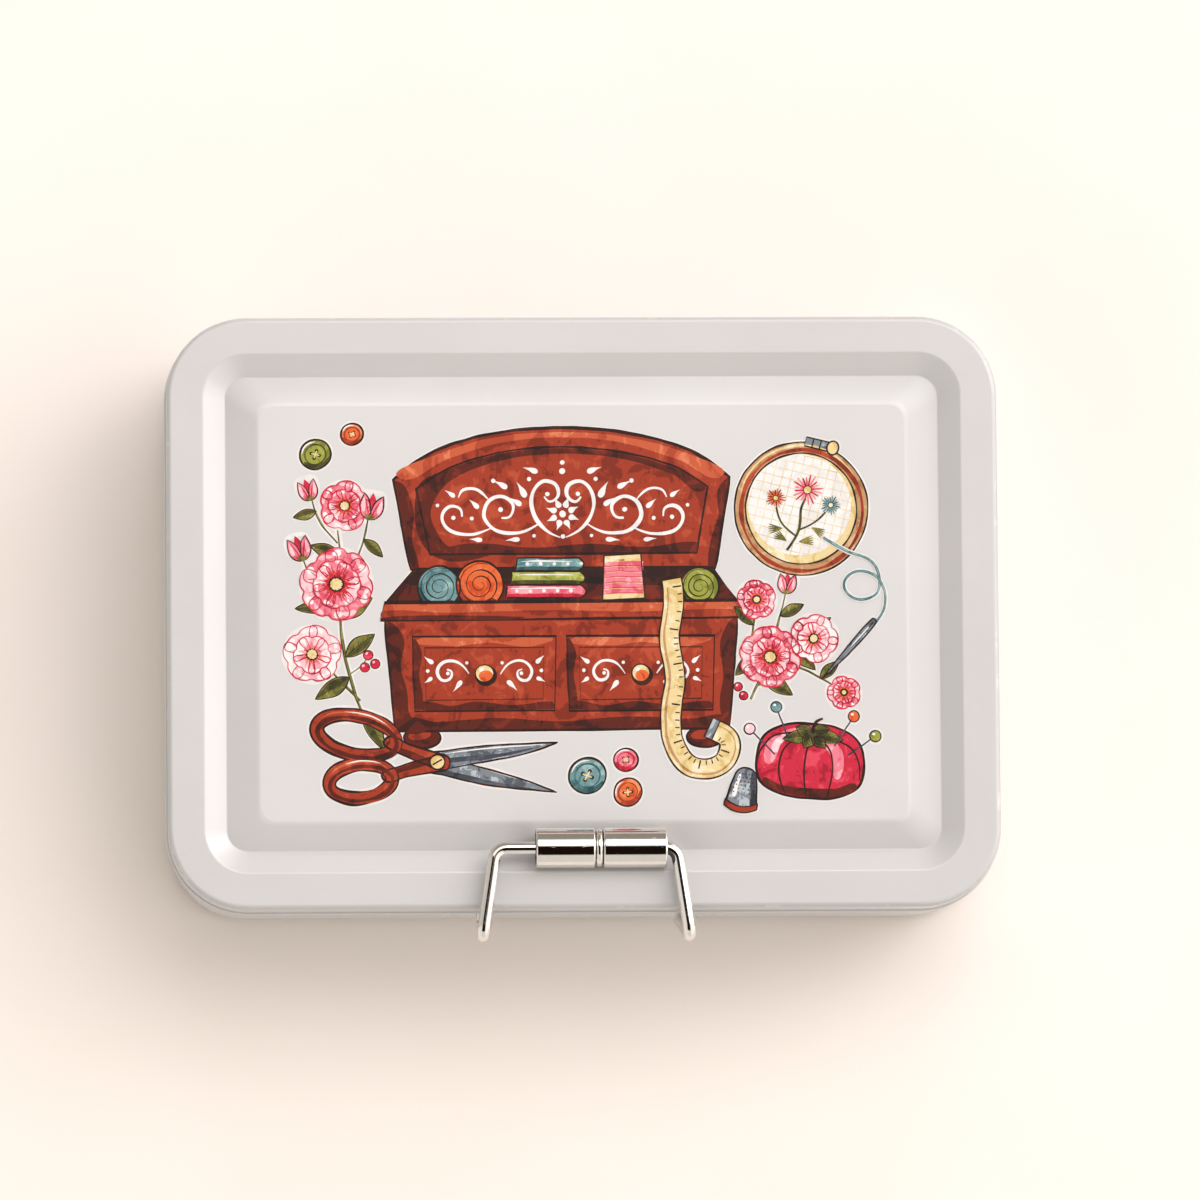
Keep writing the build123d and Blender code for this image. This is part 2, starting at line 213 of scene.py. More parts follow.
def enamel(name, base, warm, inside_lid):
    """Satin white enamel outside, and tinplate inside. Object normals and positions tell the two sides apart."""
    mat, n = material(name)
    x, y, z = n.split(n.p)
    nx, ny, nz = n.split(n.normal)
    # how far the surface faces away from the middle of the tin
    px, py = n.math("MULTIPLY", x, 1 / 0.095), n.math("MULTIPLY", y, 1 / 0.0678)
    ax, ay = n.math("ABSOLUTE", px), n.math("ABSOLUTE", py)
    outward = n.math("ADD", n.math("MULTIPLY", nx, n.math("MULTIPLY", px, n.step(ax, 0.55, 0.80))),
                     n.math("MULTIPLY", ny, n.math("MULTIPLY", py, n.step(ay, 0.55, 0.80))))
    if inside_lid:
        # the lid: anything that faces up, or out at the skirt, is painted
        painted = n.math("MAXIMUM", n.step(nz, 0.02, 0.12), n.step(outward, 0.05, 0.25))
    else:
        painted = n.step(outward, 0.02, 0.2)
    cloud = n.noise(n.p, 26.0, 5.0, 0.55)
    fine = n.noise(n.p, 420.0, 3.0, 0.6)
    speck = n.cells(n.p, 520.0).outputs["Distance"]
    dust = n.step(speck, 0.0, 0.09, 1.0, 0.0)
    dust = n.math("MULTIPLY", dust, n.step(n.noise(n.p, 95.0, 2.0), 0.56, 0.66))
    color = n.mix(n.step(cloud, 0.3, 0.75), base, warm)
    color = n.mix(n.math("MULTIPLY", n.step(fine, 0.4, 0.8), 0.10), color, tuple(c * 0.90 for c in base))
    color = n.mix(n.math("MULTIPLY", dust, 0.35), color, (0.36, 0.33, 0.30))
    if inside_lid:
        # the centre panel carries a white ground for the print
        ground = n.math("MULTIPLY", n.step(n.math("ABSOLUTE", x), 0.0752, 0.0736), n.step(n.math("ABSOLUTE", y), 0.0490, 0.0474))
        ground = n.math("MULTIPLY", ground, n.step(z, 0.0464, 0.0466))
        color = n.mix(ground, color, n.mix(n.step(cloud, 0.3, 0.75), tuple(c * 1.09 for c in base), tuple(c * 1.09 for c in warm)))
    # edge: painted shade, the enamel colour is darkened along the lid's rolled top edge and along the foot of the wall;
    # where rubbed, these edges also show bare tinplate (real wear)
    if inside_lid:
        # distance outside the flat of the rim, so the top edge of the skirt
        qx = n.math("MAXIMUM", n.math("SUBTRACT", n.math("ABSOLUTE", x), 0.095 - 0.0183), 0.0)
        qy = n.math("MAXIMUM", n.math("SUBTRACT", n.math("ABSOLUTE", y), 0.06775 - 0.0183), 0.0)
        reach = n.math("SQRT", n.math("ADD", n.math("MULTIPLY", qx, qx), n.math("MULTIPLY", qy, qy)))
        edge = n.step(reach, 0.0183 - 0.0012, 0.0183 - 0.0003)
        edge = n.math("MULTIPLY", edge, n.step(z, 0.0462, 0.0474))
        rub = n.step(n.noise(n.p, 150.0, 4.0, 0.6), 0.55, 0.68)
        bead = n.step(z, 0.0381, 0.0376)
    else:
        edge = n.step(z, 0.0030, 0.0012)
        rub = n.step(n.noise(n.p, 120.0, 4.0, 0.6), 0.52, 0.66)
        bead = n.step(z, 0.0012, 0.0005)
    # painted shade: the enamel is darkened and cooled along the edge mask
    color = n.mix(n.math("MULTIPLY", edge, 0.60), color, (0.350, 0.345, 0.358))
    if inside_lid:
        # painted shade: the skirt's enamel is painted a darker, cooler grey than the top's
        side = n.step(z, 0.0470, 0.0452)
        side = n.math("MULTIPLY", side, n.step(reach, 0.0183 - 0.0014, 0.0183 - 0.0008))
        color = n.mix(n.math("MULTIPLY", side, 0.75), color, (0.470, 0.478, 0.494))
    bare = n.math("MULTIPLY", n.math("MULTIPLY", edge, rub), 0.5)
    bare = n.math("MAXIMUM", bare, n.math("MULTIPLY", n.math("MULTIPLY", bead, rub), 0.6))
    tin, tin_rough, tin_height = tinplate(n)
    metal = n.math("MAXIMUM", n.math("SUBTRACT", 1.0, painted), n.math("MULTIPLY", bare, painted))
    color = n.mix(metal, color, tin)
    smear = n.noise(n.scale(n.p, (40.0, 90.0, 90.0)), 1.0, 4.0, 0.6, 0.8)
    rough = n.math("ADD", n.step(smear, 0.35, 0.75, 0.29, 0.38), n.math("MULTIPLY", fine, 0.03))
    rough = n.math("ADD", n.math("MULTIPLY", rough, n.math("SUBTRACT", 1.0, metal)), n.math("MULTIPLY", tin_rough, metal))
    peel = n.noise(n.p, 750.0, 2.0, 0.5)
    wave = n.noise(n.p, 17.0, 2.0, 0.4)
    height = n.math("ADD", n.math("MULTIPLY", peel, 0.0000050), n.math("MULTIPLY", wave, 0.00006))
    height = n.math("ADD", height, n.math("MULTIPLY", n.math("MULTIPLY", tin_height, metal), 0.000006))
    height = n.math("SUBTRACT", height, n.math("MULTIPLY", bare, 0.00002))
    normal = n.bump(height, 1.0, 1.0)
    finish_shader(n, color, metal, rough, normal, coat=0.55, coat_rough=0.18)
    return mat


def chrome(name, along, tint=(0.78, 0.755, 0.715), rough=0.045):
    """Polished nickel-chrome plate: hairline polishing marks along one axis, haze and a few fine scratches."""
    mat, n = material(name)
    hair = brushed(n, along, 2600.0, 0.03)
    haze = n.noise(n.p, 130.0, 4.0, 0.6)
    scratch = n.noise(n.scale(n.p, (420.0, 5200.0, 5200.0) if along == "x" else (5200.0, 420.0, 5200.0)), 1.0, 1.0, 0.5, 0.6)
    mark = n.step(scratch, 0.69, 0.74)
    pit = n.step(n.cells(n.p, 900.0).outputs["Distance"], 0.0, 0.10, 1.0, 0.0)
    pit = n.math("MULTIPLY", pit, n.step(n.noise(n.p, 210.0, 2.0), 0.58, 0.66))
    color = n.mix(n.step(haze, 0.35, 0.75), tint, tuple(c * 0.93 for c in tint))
    color = n.mix(n.math("MULTIPLY", pit, 0.6), color, (0.30, 0.26, 0.22))
    r = n.math("ADD", n.step(haze, 0.35, 0.8, rough, rough + 0.05), n.math("MULTIPLY", mark, 0.10))
    r = n.math("ADD", r, n.math("MULTIPLY", pit, 0.25))
    height = n.math("ADD", n.math("MULTIPLY", hair, 0.0000012), n.math("MULTIPLY", mark, -0.0000025))
    height = n.math("SUBTRACT", height, n.math("MULTIPLY", pit, 0.00001))
    finish_shader(n, color, 1.0, r, n.bump(height, 1.0, 1.0))
    return mat


def plate_steel(name, along, tint, rough=0.22):
    """Nickel-plated pressed steel: brushed lines, clouding, rubbed and darkened spots."""
    mat, n = material(name)
    lines = brushed(n, along, 1500.0, 0.03)
    cloud = n.noise(n.p, 170.0, 5.0, 0.6)
    color = n.mix(n.step(cloud, 0.3, 0.8), tint, tuple(c * 0.86 for c in tint))
    color = n.mix(n.math("MULTIPLY", n.step(lines, 0.5, 0.8), 0.25), color, tuple(c * 0.65 for c in tint))
    stain = n.step(n.noise(n.p, 330.0, 3.0, 0.6), 0.66, 0.74)
    color = n.mix(n.math("MULTIPLY", stain, 0.45), color, (0.28, 0.24, 0.20))
    r = n.math("ADD", n.step(lines, 0.3, 0.8, rough, rough + 0.12), n.math("MULTIPLY", stain, 0.2))
    height = n.math("ADD", n.math("MULTIPLY", lines, 0.000006), n.math("MULTIPLY", cloud, 0.000015))
    finish_shader(n, color, 1.0, r, n.bump(height, 1.0, 1.0))
    return mat


def moulded(name, base):
    mat, n = material(name)
    grain = n.noise(n.p, 2600.0, 3.0, 0.6)
    cloud = n.noise(n.p, 300.0, 3.0, 0.6)
    color = n.mix(cloud, base, tuple(c * 1.6 for c in base))
    rough = n.step(grain, 0.3, 0.7, 0.42, 0.6)
    finish_shader(n, color, 0.0, rough, n.bump(n.math("MULTIPLY", grain, 0.00001), 1.0, 1.0))
    return mat


def assign(node, mat):
    mesh = N[node].data
    if not mesh.materials:
        mesh.materials.append(mat)
    for i in range(len(mesh.materials)):
        mesh.materials[i] = mat


LID = enamel("lid_enamel", (0.509, 0.495, 0.492), (0.531, 0.517, 0.513), True)
BODY = enamel("body_enamel", (0.508, 0.508, 0.520), (0.533, 0.533, 0.545), False)
WIRE = chrome("wire_plate", "x")
TUBE = chrome("sleeve_plate", "x", rough=0.035)
LEAF = plate_steel("leaf_plate", "x", (0.70, 0.69, 0.665))
PIN = plate_steel("pin_steel", "x", (0.64, 0.63, 0.61), 0.18)
RIVET = plate_steel("rivet_steel", "z", (0.68, 0.67, 0.65), 0.2)
BUSH = moulded("bush_moulding", (0.035, 0.034, 0.033))


def bottom_mat():
    """The bottom: tinplate on both faces, with storage scuffs underneath."""
    mat, n = material("bottom_tinplate")
    tone, rough, height = tinplate(n)
    scuff = n.step(n.noise(n.scale(n.p, (120.0, 900.0, 900.0)), 1.0, 3.0, 0.7, 1.2), 0.62, 0.70)
    nx, ny, nz = n.split(n.normal)
    under = n.step(nz, 0.0, -0.3)
    tone = n.mix(n.math("MULTIPLY", n.math("MULTIPLY", scuff, under), 0.4), tone, (0.36, 0.34, 0.32))
    rough = n.math("ADD", rough, n.math("MULTIPLY", n.math("MULTIPLY", scuff, under), 0.15))
    finish_shader(n, tone, 1.0, rough, n.bump(n.math("MULTIPLY", height, 0.000008), 1.0, 1.0))
    return mat


BOTTOM = bottom_mat()

for node in N:
    if node == "lid_shell":
        assign(node, LID)
    elif node == "body_wall":
        assign(node, BODY)
    elif node == "bottom_panel":
        assign(node, BOTTOM)
    elif node == "bail_wire":
        assign(node, WIRE)
    elif node in ("sleeve_left", "sleeve_right", "centre_ring"):
        assign(node, TUBE)
    elif node.startswith("sleeve_bushes"):
        assign(node, BUSH)
    elif node.startswith("hinge_leaf") or node in ("bail_lug_left", "bail_lug_right"):
        assign(node, LEAF)
    elif node.startswith("hinge_pin"):
        assign(node, PIN)
    else:
        assign(node, RIVET)


# ------------------------------------------------------------ printed picture
# Flat inks on the centre panel, each motif one mesh of thin closed plates.

TOP = 46.7
PRINT = 0.80
PLY = 0.0018


def spline(points, closed=True):
    """Smooth line through the points. A third number marks a corner."""
    n, out = len(points), []
    for i in range(n if closed else n - 1):
        p, q = points[i], points[(i + 1) % n]
        a, b = Vector(p[:2]), Vector(q[:2])
        chord = (b - a).length
        if chord < 1e-6:
            continue
        before = None if len(p) > 2 or (not closed and i == 0) else Vector(points[i - 1][:2])
        after = None if len(q) > 2 or (not closed and i == n - 2) else Vector(points[(i + 2) % n][:2])
        m = (b - before).normalized() * chord if before is not None and (b - before).length > 1e-6 else None
        k = (after - a).normalized() * chord if after is not None and (after - a).length > 1e-6 else None
        if m is None and k is None:
            m = k = b - a
        elif m is None:
            m = (b - a) * 1.5 - k * 0.5
        elif k is None:
            k = (b - a) * 1.5 - m * 0.5
        steps = max(2, min(12, math.ceil(chord / 0.6)))
        for s in range(steps):
            t = s / steps
            out.append(a * (2 * t ** 3 - 3 * t * t + 1) + m * (t ** 3 - 2 * t * t + t)
                       + b * (3 * t * t - 2 * t ** 3) + k * (t ** 3 - t * t))
    if not closed:
        out.append(Vector(points[-1][:2]))
    return out


def spiral(cx, cy, r0, r1, a0, a1, count=14):
    out = []
    for i in range(count + 1):
        t = i / count
        a, r = math.radians(a0 + (a1 - a0) * t), r0 + (r1 - r0) * t
        out.append((cx + r * math.cos(a), cy + r * math.sin(a)))
    return out


def oval(cx, cy, rx, ry=None, turn=0.0, count=12):
    ry = rx if ry is None else ry
    c, s = math.cos(math.radians(turn)), math.sin(math.radians(turn))
    out = []
    for i in range(count):
        a = 2 * math.pi * i / count
        x, y = rx * math.cos(a), ry * math.sin(a)
        out.append((cx + x * c - y * s, cy + x * s + y * c))
    return out


ART = []


class Print:
    """A motif. Its shapes are collected first, and laid over each other in order of level by lay_prints."""

    def __init__(self, name, at=(0.0, 0.0), turn=0.0, size=1.0, lift=0):
        self.name, self.at, self.turn, self.size, self.lift = name, Vector(at), math.radians(turn), size, lift

    def local(self, at=(0.0, 0.0), turn=0.0, size=1.0):
        """The same print, drawn in a frame moved inside this one."""
        other = Print(self.name, self._put(Vector(at)), 0.0, self.size * size, self.lift)
        other.turn = self.turn + math.radians(turn)
        return other

    def _put(self, p):
        c, s = math.cos(self.turn), math.sin(self.turn)
        return self.at + Vector((p.x * c - p.y * s, p.x * s + p.y * c)) * self.size

    def _hand(self, p):
        """On the panel, with the slight waver of a drawn line."""
        q = self._put(p)
        w = Vector((noise.noise((q.x * 0.33, q.y * 0.33, 3.1)), noise.noise((q.x * 0.33, q.y * 0.33, 9.7))))
        return q + w * 0.10

    def _add(self, ink, level, verts, faces):
        xs, ys = [v.x for v in verts], [v.y for v in verts]
        ART.append((level if level < 2 else level + self.lift, len(ART), self.name, ink, verts, faces, (min(xs), max(xs), min(ys), max(ys))))

    def fill(self, ink, points, level, smooth=True):
        loop = spline(points) if smooth else [Vector(p[:2]) for p in points]
        loop = [self._hand(p) for p in loop]
        area = sum(a.x * b.y - b.x * a.y for a, b in zip(loop, loop[1:] + loop[:1]))
        if area < 0:
            loop.reverse()
        self._add(ink, level, loop, [list(range(len(loop)))])

    def line(self, ink, points, width, level, ends=(1.0, 1.0), closed=False, smooth=True, brush=0.22, reach=0.22):
        path = spline(points, closed) if smooth else [Vector(p[:2]) for p in points]
        path = [self._hand(p) for p in path]
        path = [p for i, p in enumerate(path) if i == 0 or (p - path[i - 1]).length > 1e-3]
        if closed and (path[0] - path[-1]).length < 1e-3:
            path.pop()
        n = len(path)
        if n < 2:
            return
        verts = []
        for i, p in enumerate(path):
            a = path[i - 1] if (closed or i) else p
            b = path[(i + 1) % n] if (closed or i < n - 1) else p
            d = (b - a).normalized()
            side = Vector((-d.y, d.x))
            t = i / max(1, n - 1)
            w = width * self.size * 0.5
            if not closed:
                w *= min(1.0, ends[0] + (1 - ends[0]) * t / reach) * min(1.0, ends[1] + (1 - ends[1]) * (1 - t) / reach)
            w *= 1.0 + brush * 2.0 * noise.noise((p.x * 0.21, p.y * 0.21, 17.0 + width))
            w = max(w, 0.02)
            verts += [p - side * w, p + side * w]
        faces = []
        for i in range(n if closed else n - 1):
            a, b = 2 * i, 2 * ((i + 1) % n)
            for p, q, r in ((a, b, b + 1), (a, b + 1, a + 1)):
                turn = (verts[q] - verts[p]).cross(verts[r] - verts[p])
                if abs(turn) > 1e-6:
                    faces.append([p, q, r] if turn > 0 else [p, r, q])
        self._add(ink, level, verts, faces)

    def shape(self, ink, points, level, edge="line", width=0.5, halo=True, smooth=True):
        """A filled shape with its drawn outline and the white that the picture is printed on."""
        if halo:
            self.line("ground", points, 1.25, 1, closed=True, smooth=smooth, brush=0.1)
        self.fill(ink, points, level, smooth)
        if edge:
            self.line(edge, points, width, level + 1, closed=True, smooth=smooth)


def plate(verts, faces, z0, z1):
    """The shape's union as one closed plate, without faces that overlap."""
    vs, _, tris, _, _, source = delaunay_2d_cdt(verts, [], faces, 1, 1e-4, True)
    tops, edges = [], {}
    for t, src in zip(tris, source):
        if not src or len(t) != 3:
            continue
        a, b, c = t
        if (vs[b] - vs[a]).cross(vs[c] - vs[a]) < 0:
            b, c = c, b
        tops.append((a, b, c))
        for e in ((a, b), (b, c), (c, a)):
            edges[e] = True
    used = sorted({i for t in tops for i in t})
    new = {v: i for i, v in enumerate(used)}
    k = len(used)
    out = [(vs[i].x * MM, vs[i].y * MM, z1 * MM) for i in used] + [(vs[i].x * MM, vs[i].y * MM, z0 * MM) for i in used]
    polys = [tuple(new[i] for i in t) for t in tops] + [tuple(new[i] + k for i in reversed(t)) for t in tops]
    for i, j in edges:
        if (j, i) not in edges:
            polys.append((new[i], new[i] + k, new[j] + k, new[j]))
    return out, polys


def lay_prints():
    """Stack every shape just above those it may cover, and make one mesh for each motif."""
    placed, meshes = [], {}
    for level, order, name, ink_name, verts, faces, box in sorted(ART, key=lambda s: s[:2]):
        slot = 1
        for other, high in placed:
            if high >= slot and box[0] < other[1] and other[0] < box[1] and box[2] < other[3] and other[2] < box[3]:
                slot = high + 1
        placed.append((box, slot))
        out, polys = plate(verts, faces, TOP - 0.004, TOP + PLY * slot)
        data = meshes.setdefault(name, ([], [], [], []))
        if ink_name not in data[3]:
            data[3].append(ink_name)
        base = len(data[0])
        data[0].extend(out)
        data[1].extend(tuple(i + base for i in p) for p in polys)
        data[2].extend([data[3].index(ink_name)] * len(polys))
    for name, (verts, faces, which, inks) in meshes.items():
        mesh = bpy.data.meshes.new("print_" + name)
        mesh.from_pydata(verts, [], faces)
        for ink_name in inks:
            mesh.materials.append(INKS[ink_name])
        mesh.polygons.foreach_set("material_index", which)
        mesh.update()
        obj = bpy.data.objects.new("print_" + name, mesh)
        bpy.context.scene.collection.objects.link(obj)
        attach(obj, "lid")


def ink(name, dark, mid, light, wash=170.0, cut=(0.40, 0.47, 0.56, 0.64)):
    """A brushed ink: a middle tone with darker and lighter washes, pigment grain and hatched brush marks."""
    mat, n = material("ink_" + name)
    dark, mid, light = (tuple(c * PRINT for c in srgb(*v)) for v in (dark, mid, light))
    cloud = n.noise(n.p, wash, 3.0, 0.55, 0.9)
    sweep = n.noise(n.scale(n.p, (1500.0, 420.0, 420.0)), 1.0, 2.0, 0.5, 0.3)
    tone = n.math("ADD", cloud, n.math("MULTIPLY", n.math("SUBTRACT", sweep, 0.5), 0.16))
    color = n.mix(n.step(tone, cut[0], cut[1]), dark, mid)
    color = n.mix(n.step(tone, cut[2], cut[3]), color, light)
    grain = n.noise(n.p, 4200.0, 2.0, 0.6)
    color = n.mix(n.math("MULTIPLY", n.step(grain, 0.45, 0.8), 0.16), color, tuple(c * 0.72 for c in mid))
    rough = n.step(grain, 0.3, 0.8, 0.36, 0.46)
    height = n.math("MULTIPLY", grain, 0.0000016)
    height = n.math("ADD", height, n.math("MULTIPLY", n.noise(n.p, 17.0, 2.0, 0.4), 0.00006))
    finish_shader(n, color, 0.0, rough, n.bump(height, 1.0, 1.0), coat=0.08, coat_rough=0.16, specular=0.22)
    return mat


INKS = {
    "line": ink("line", (26, 9, 5), (44, 17, 10), (70, 28, 16)),
    "rust": ink("rust", (128, 40, 17), (164, 56, 29), (186, 76, 45)),
    "rust_deep": ink("rust_deep", (58, 17, 7), (92, 28, 12), (122, 40, 20)),
    "rust_lit": ink("rust_lit", (178, 68, 38), (203, 94, 58), (226, 128, 90)),
    "white": ink("white", (236, 232, 230), (245, 242, 240), (250, 249, 248)),
    "ground": ink("ground", (230, 225, 222), (235, 230, 227), (240, 236, 233)),
    "pink": ink("pink", (226, 86, 108), (238, 130, 146), (247, 176, 186), 260.0),
    "pink_lit": ink("pink_lit", (244, 168, 180), (250, 206, 212), (253, 232, 234), 260.0),
    "red": ink("red", (168, 18, 44), (208, 36, 64), (228, 70, 92), 260.0),
    "olive": ink("olive", (92, 92, 34), (128, 122, 52), (164, 154, 84), 260.0),
    "olive_deep": ink("olive_deep", (52, 50, 20), (78, 74, 30), (98, 92, 42), 260.0),
    "teal": ink("teal", (72, 118, 122), (112, 152, 154), (158, 190, 188), 240.0),
    "teal_deep": ink("teal_deep", (38, 74, 78), (58, 98, 102), (84, 124, 126)),
    "orange": ink("orange", (206, 72, 26), (228, 104, 50), (242, 148, 98), 240.0),
    "lime": ink("lime", (120, 124, 40), (156, 160, 64), (190, 192, 104), 240.0),
    "steel": ink("steel", (84, 90, 98), (128, 136, 144), (188, 196, 202), 300.0),
    "steel_deep": ink("steel_deep", (44, 48, 54), (66, 72, 80), (92, 98, 106)),
    "cream": ink("cream", (222, 190, 120), (238, 214, 158), (248, 234, 198), 260.0),
    "tan": ink("tan", (166, 118, 74), (196, 150, 104), (220, 182, 140), 260.0),
}


# ---- small things that come back in several motifs

def comma(g, x, y, length, angle, width, level=7, ink_name="white"):
    """One folk-art brush stroke: round at its head and drawn out to a point."""
    c, s = math.cos(math.radians(angle)), math.sin(math.radians(angle))
    pts = [(0, 0), (0.10, 0.42), (0.34, 0.50), (0.66, 0.30), (1.0, 0.10, 1), (0.66, -0.06), (0.30, -0.42), (0.08, -0.34)]
    out = []
    for p in pts:
        u, v = p[0] * length, p[1] * width
        out.append((x + u * c - v * s, y + u * s + v * c) + tuple(p[2:]))
    g.fill(ink_name, out, level)


def leaf(g, x0, y0, x1, y1, width, level=4, mirror=1.0, halo=True):
    a, b = Vector((x0, y0)), Vector((x1, y1))
    d = b - a
    u, v = d.normalized(), Vector((-d.normalized().y, d.normalized().x)) * mirror
    L = d.length

    def at(t, w):
        p = a + u * (t * L) + v * (w * width)
        return (p.x, p.y)
    edge = [(*at(0, 0), 1), at(0.22, 0.42), at(0.5, 0.56), at(0.8, 0.30), (*at(1.0, 0.02), 1), at(0.78, -0.26), at(0.48, -0.44), at(0.2, -0.32)]
    if halo:
        g.line("ground", edge, 0.9, 1, closed=True, brush=0.1)
    g.fill("olive", edge, level)
    g.fill("olive_deep", [(*at(0, 0), 1), at(0.3, -0.02), at(0.66, 0.03), (*at(1.0, 0.02), 1), at(0.76, -0.20), at(0.5, -0.34), at(0.22, -0.26)], level + 1)
    g.line("olive_deep", [at(0.02, 0.0), at(0.4, 0.05), at(0.95, 0.03)], 0.28, level + 2, ends=(1, 0.3))
    for t in (0.25, 0.42, 0.58, 0.74):
        g.line("olive_deep", [at(t, 0.03), at(t + 0.13, 0.32 * (1 - 0.6 * abs(t - 0.45)))], 0.17, level + 2, ends=(1, 0.2))
    g.line("line", edge, 0.22, level + 2, closed=True, brush=0.35)


def bloom(g, r, petals, turn=0.0, level=5, tilt=1.0, heart=True, seed=0.0, colors=("pink", "red", "pink_lit")):
    """An open flower with broad notched petals, drawn about the frame's centre."""
    mid, deep, lit = colors
    outer, inner = [], []
    step = 360.0 / petals
    g.line("ground", oval(0, 0, r * 0.99, r * 0.99 * tilt, 0, 16), 1.5, 1, closed=True, brush=0.1)
    for ring, size, off in ((0, 1.0, 0.0), (1, 0.66, step * 0.5)):
        for i in range(petals):
            a = turn + off + i * step + 9.0 * noise.noise((i * 1.7, seed, ring * 4.0))
            w = size * r * math.sin(math.radians(step / 2)) * 1.22
            L = size * r * (1.0 + 0.10 * noise.noise((i * 2.3, seed + 5, ring * 2.0)))
            ca, sa = math.cos(math.radians(a)), math.sin(math.radians(a))

            def at(t, s):
                u, v = t * L, s * w
                return (u * ca - v * sa, (u * sa + v * ca) * tilt)
            edge = [at(0.06, -0.10), at(0.42, -0.66), at(0.76, -0.98), at(0.97, -0.62), at(1.0, -0.22), at(0.93, 0.02),
                    at(1.0, 0.26), at(0.95, 0.66), at(0.74, 0.98), at(0.40, 0.64), at(0.06, 0.10)]
            up = level + 2 * ring
            g.fill(mid if (i + ring) % 3 else lit, edge, up)
            # deep colour drawn out from the heart, light at the lip
            g.fill(deep, [at(0.04, -0.08), at(0.34, -0.40), (*at(0.60, -0.34), 1), at(0.46, -0.14), (*at(0.70, 0.02), 1), at(0.46, 0.16),
                          (*at(0.62, 0.38), 1), at(0.32, 0.38), at(0.04, 0.08)], up + 1)
            g.fill(lit, [at(0.70, -0.74), at(0.92, -0.52), at(0.95, -0.20), at(0.86, -0.22), at(0.80, -0.46)], up + 1)
            g.fill("white", [at(0.80, 0.30), at(0.94, 0.36), at(0.88, 0.62), at(0.74, 0.66)], up + 1)
            for s in (-0.5, 0.12, 0.5):
                g.line(deep, [at(0.3, s * 0.6), at(0.6, s * 0.9), at(0.82, s)], 0.20, up + 1, ends=(1, 0.15))
            g.line("red", edge, 0.24, up + 2, closed=True, brush=0.4)
    if heart:
        g.fill("cream", oval(0, 0, r * 0.20, r * 0.20 * tilt), level + 5)
        g.line("line", oval(0, 0, r * 0.20, r * 0.20 * tilt), 0.28, level + 6, closed=True, brush=0.4)
        for i in range(9):
            a = i * 40 + 7
            x, y = r * 0.30 * math.cos(math.radians(a)), r * 0.30 * tilt * math.sin(math.radians(a))
            g.fill("orange", oval(x, y, 0.30, 0.30, 0, 6), level + 6)
            g.line("line", [(x * 0.5, y * 0.5), (x * 0.92, y * 0.92)], 0.14, level + 6)


def tulip(g, size, level=4, colors=("red", "pink", "pink_lit")):
    """A closed flower seen from the side; its stem joins at the frame's centre, and it points up."""
    s = size
    g.line("ground", [(-0.1 * s, 0), (-0.46 * s, 0.4 * s), (-0.42 * s, 1.0 * s), (0, 1.1 * s), (0.42 * s, 1.0 * s), (0.46 * s, 0.4 * s), (0.1 * s, 0)], 1.1, 1, closed=True)
    g.fill(colors[0], [(0, 0), (-0.20 * s, 0.42 * s), (-0.05 * s, 1.08 * s, 1), (0.14 * s, 0.8 * s), (0.24 * s, 0.4 * s)], level)
    for m in (-1, 1):
        edge = [(0, 0), (m * 0.30 * s, 0.08 * s), (m * 0.48 * s, 0.42 * s), (m * 0.40 * s, 1.0 * s, 1), (m * 0.14 * s, 0.74 * s), (m * 0.03 * s, 0.4 * s)]
        g.fill(colors[1], edge, level + 1)
        g.fill(colors[2], [(m * 0.30 * s, 0.24 * s), (m * 0.43 * s, 0.48 * s), (m * 0.38 * s, 0.84 * s, 1), (m * 0.28 * s, 0.6 * s)], level + 2)
        g.line(colors[0], [(m * 0.08 * s, 0.12 * s), (m * 0.16 * s, 0.42 * s), (m * 0.30 * s, 0.74 * s)], 0.3, level + 2, ends=(1, 0.2))
        g.line("line", edge, 0.24, level + 3, closed=True, brush=0.35)
    g.fill("olive", [(-0.16 * s, 0.04 * s), (-0.22 * s, 0.22 * s, 1), (-0.04 * s, 0.12 * s), (0.02 * s, 0.26 * s, 1), (0.08 * s, 0.12 * s), (0.24 * s, 0.20 * s, 1), (0.14 * s, 0), (0, -0.06 * s)], level + 4)


def berry(g, x, y, r, level=5):
    g.line("ground", oval(x, y, r), 0.9, 1, closed=True)
    g.fill("red", oval(x, y, r), level)
    g.fill("pink_lit", oval(x - r * 0.3, y + r * 0.35, r * 0.3, r * 0.22, 40, 8), level + 1)
    g.line("line", oval(x, y, r), 0.2, level + 1, closed=True)


def stem(g, pts, width=0.55, level=3):
    g.line("ground", pts, width + 0.75, 1, brush=0.1)
    g.line("olive_deep", pts, width, level, ends=(1, 0.5))
    g.line("olive", [(p[0] + 0.08, p[1] + 0.08) for p in pts], width * 0.4, level + 1, ends=(1, 0.5))


# ---- the motifs

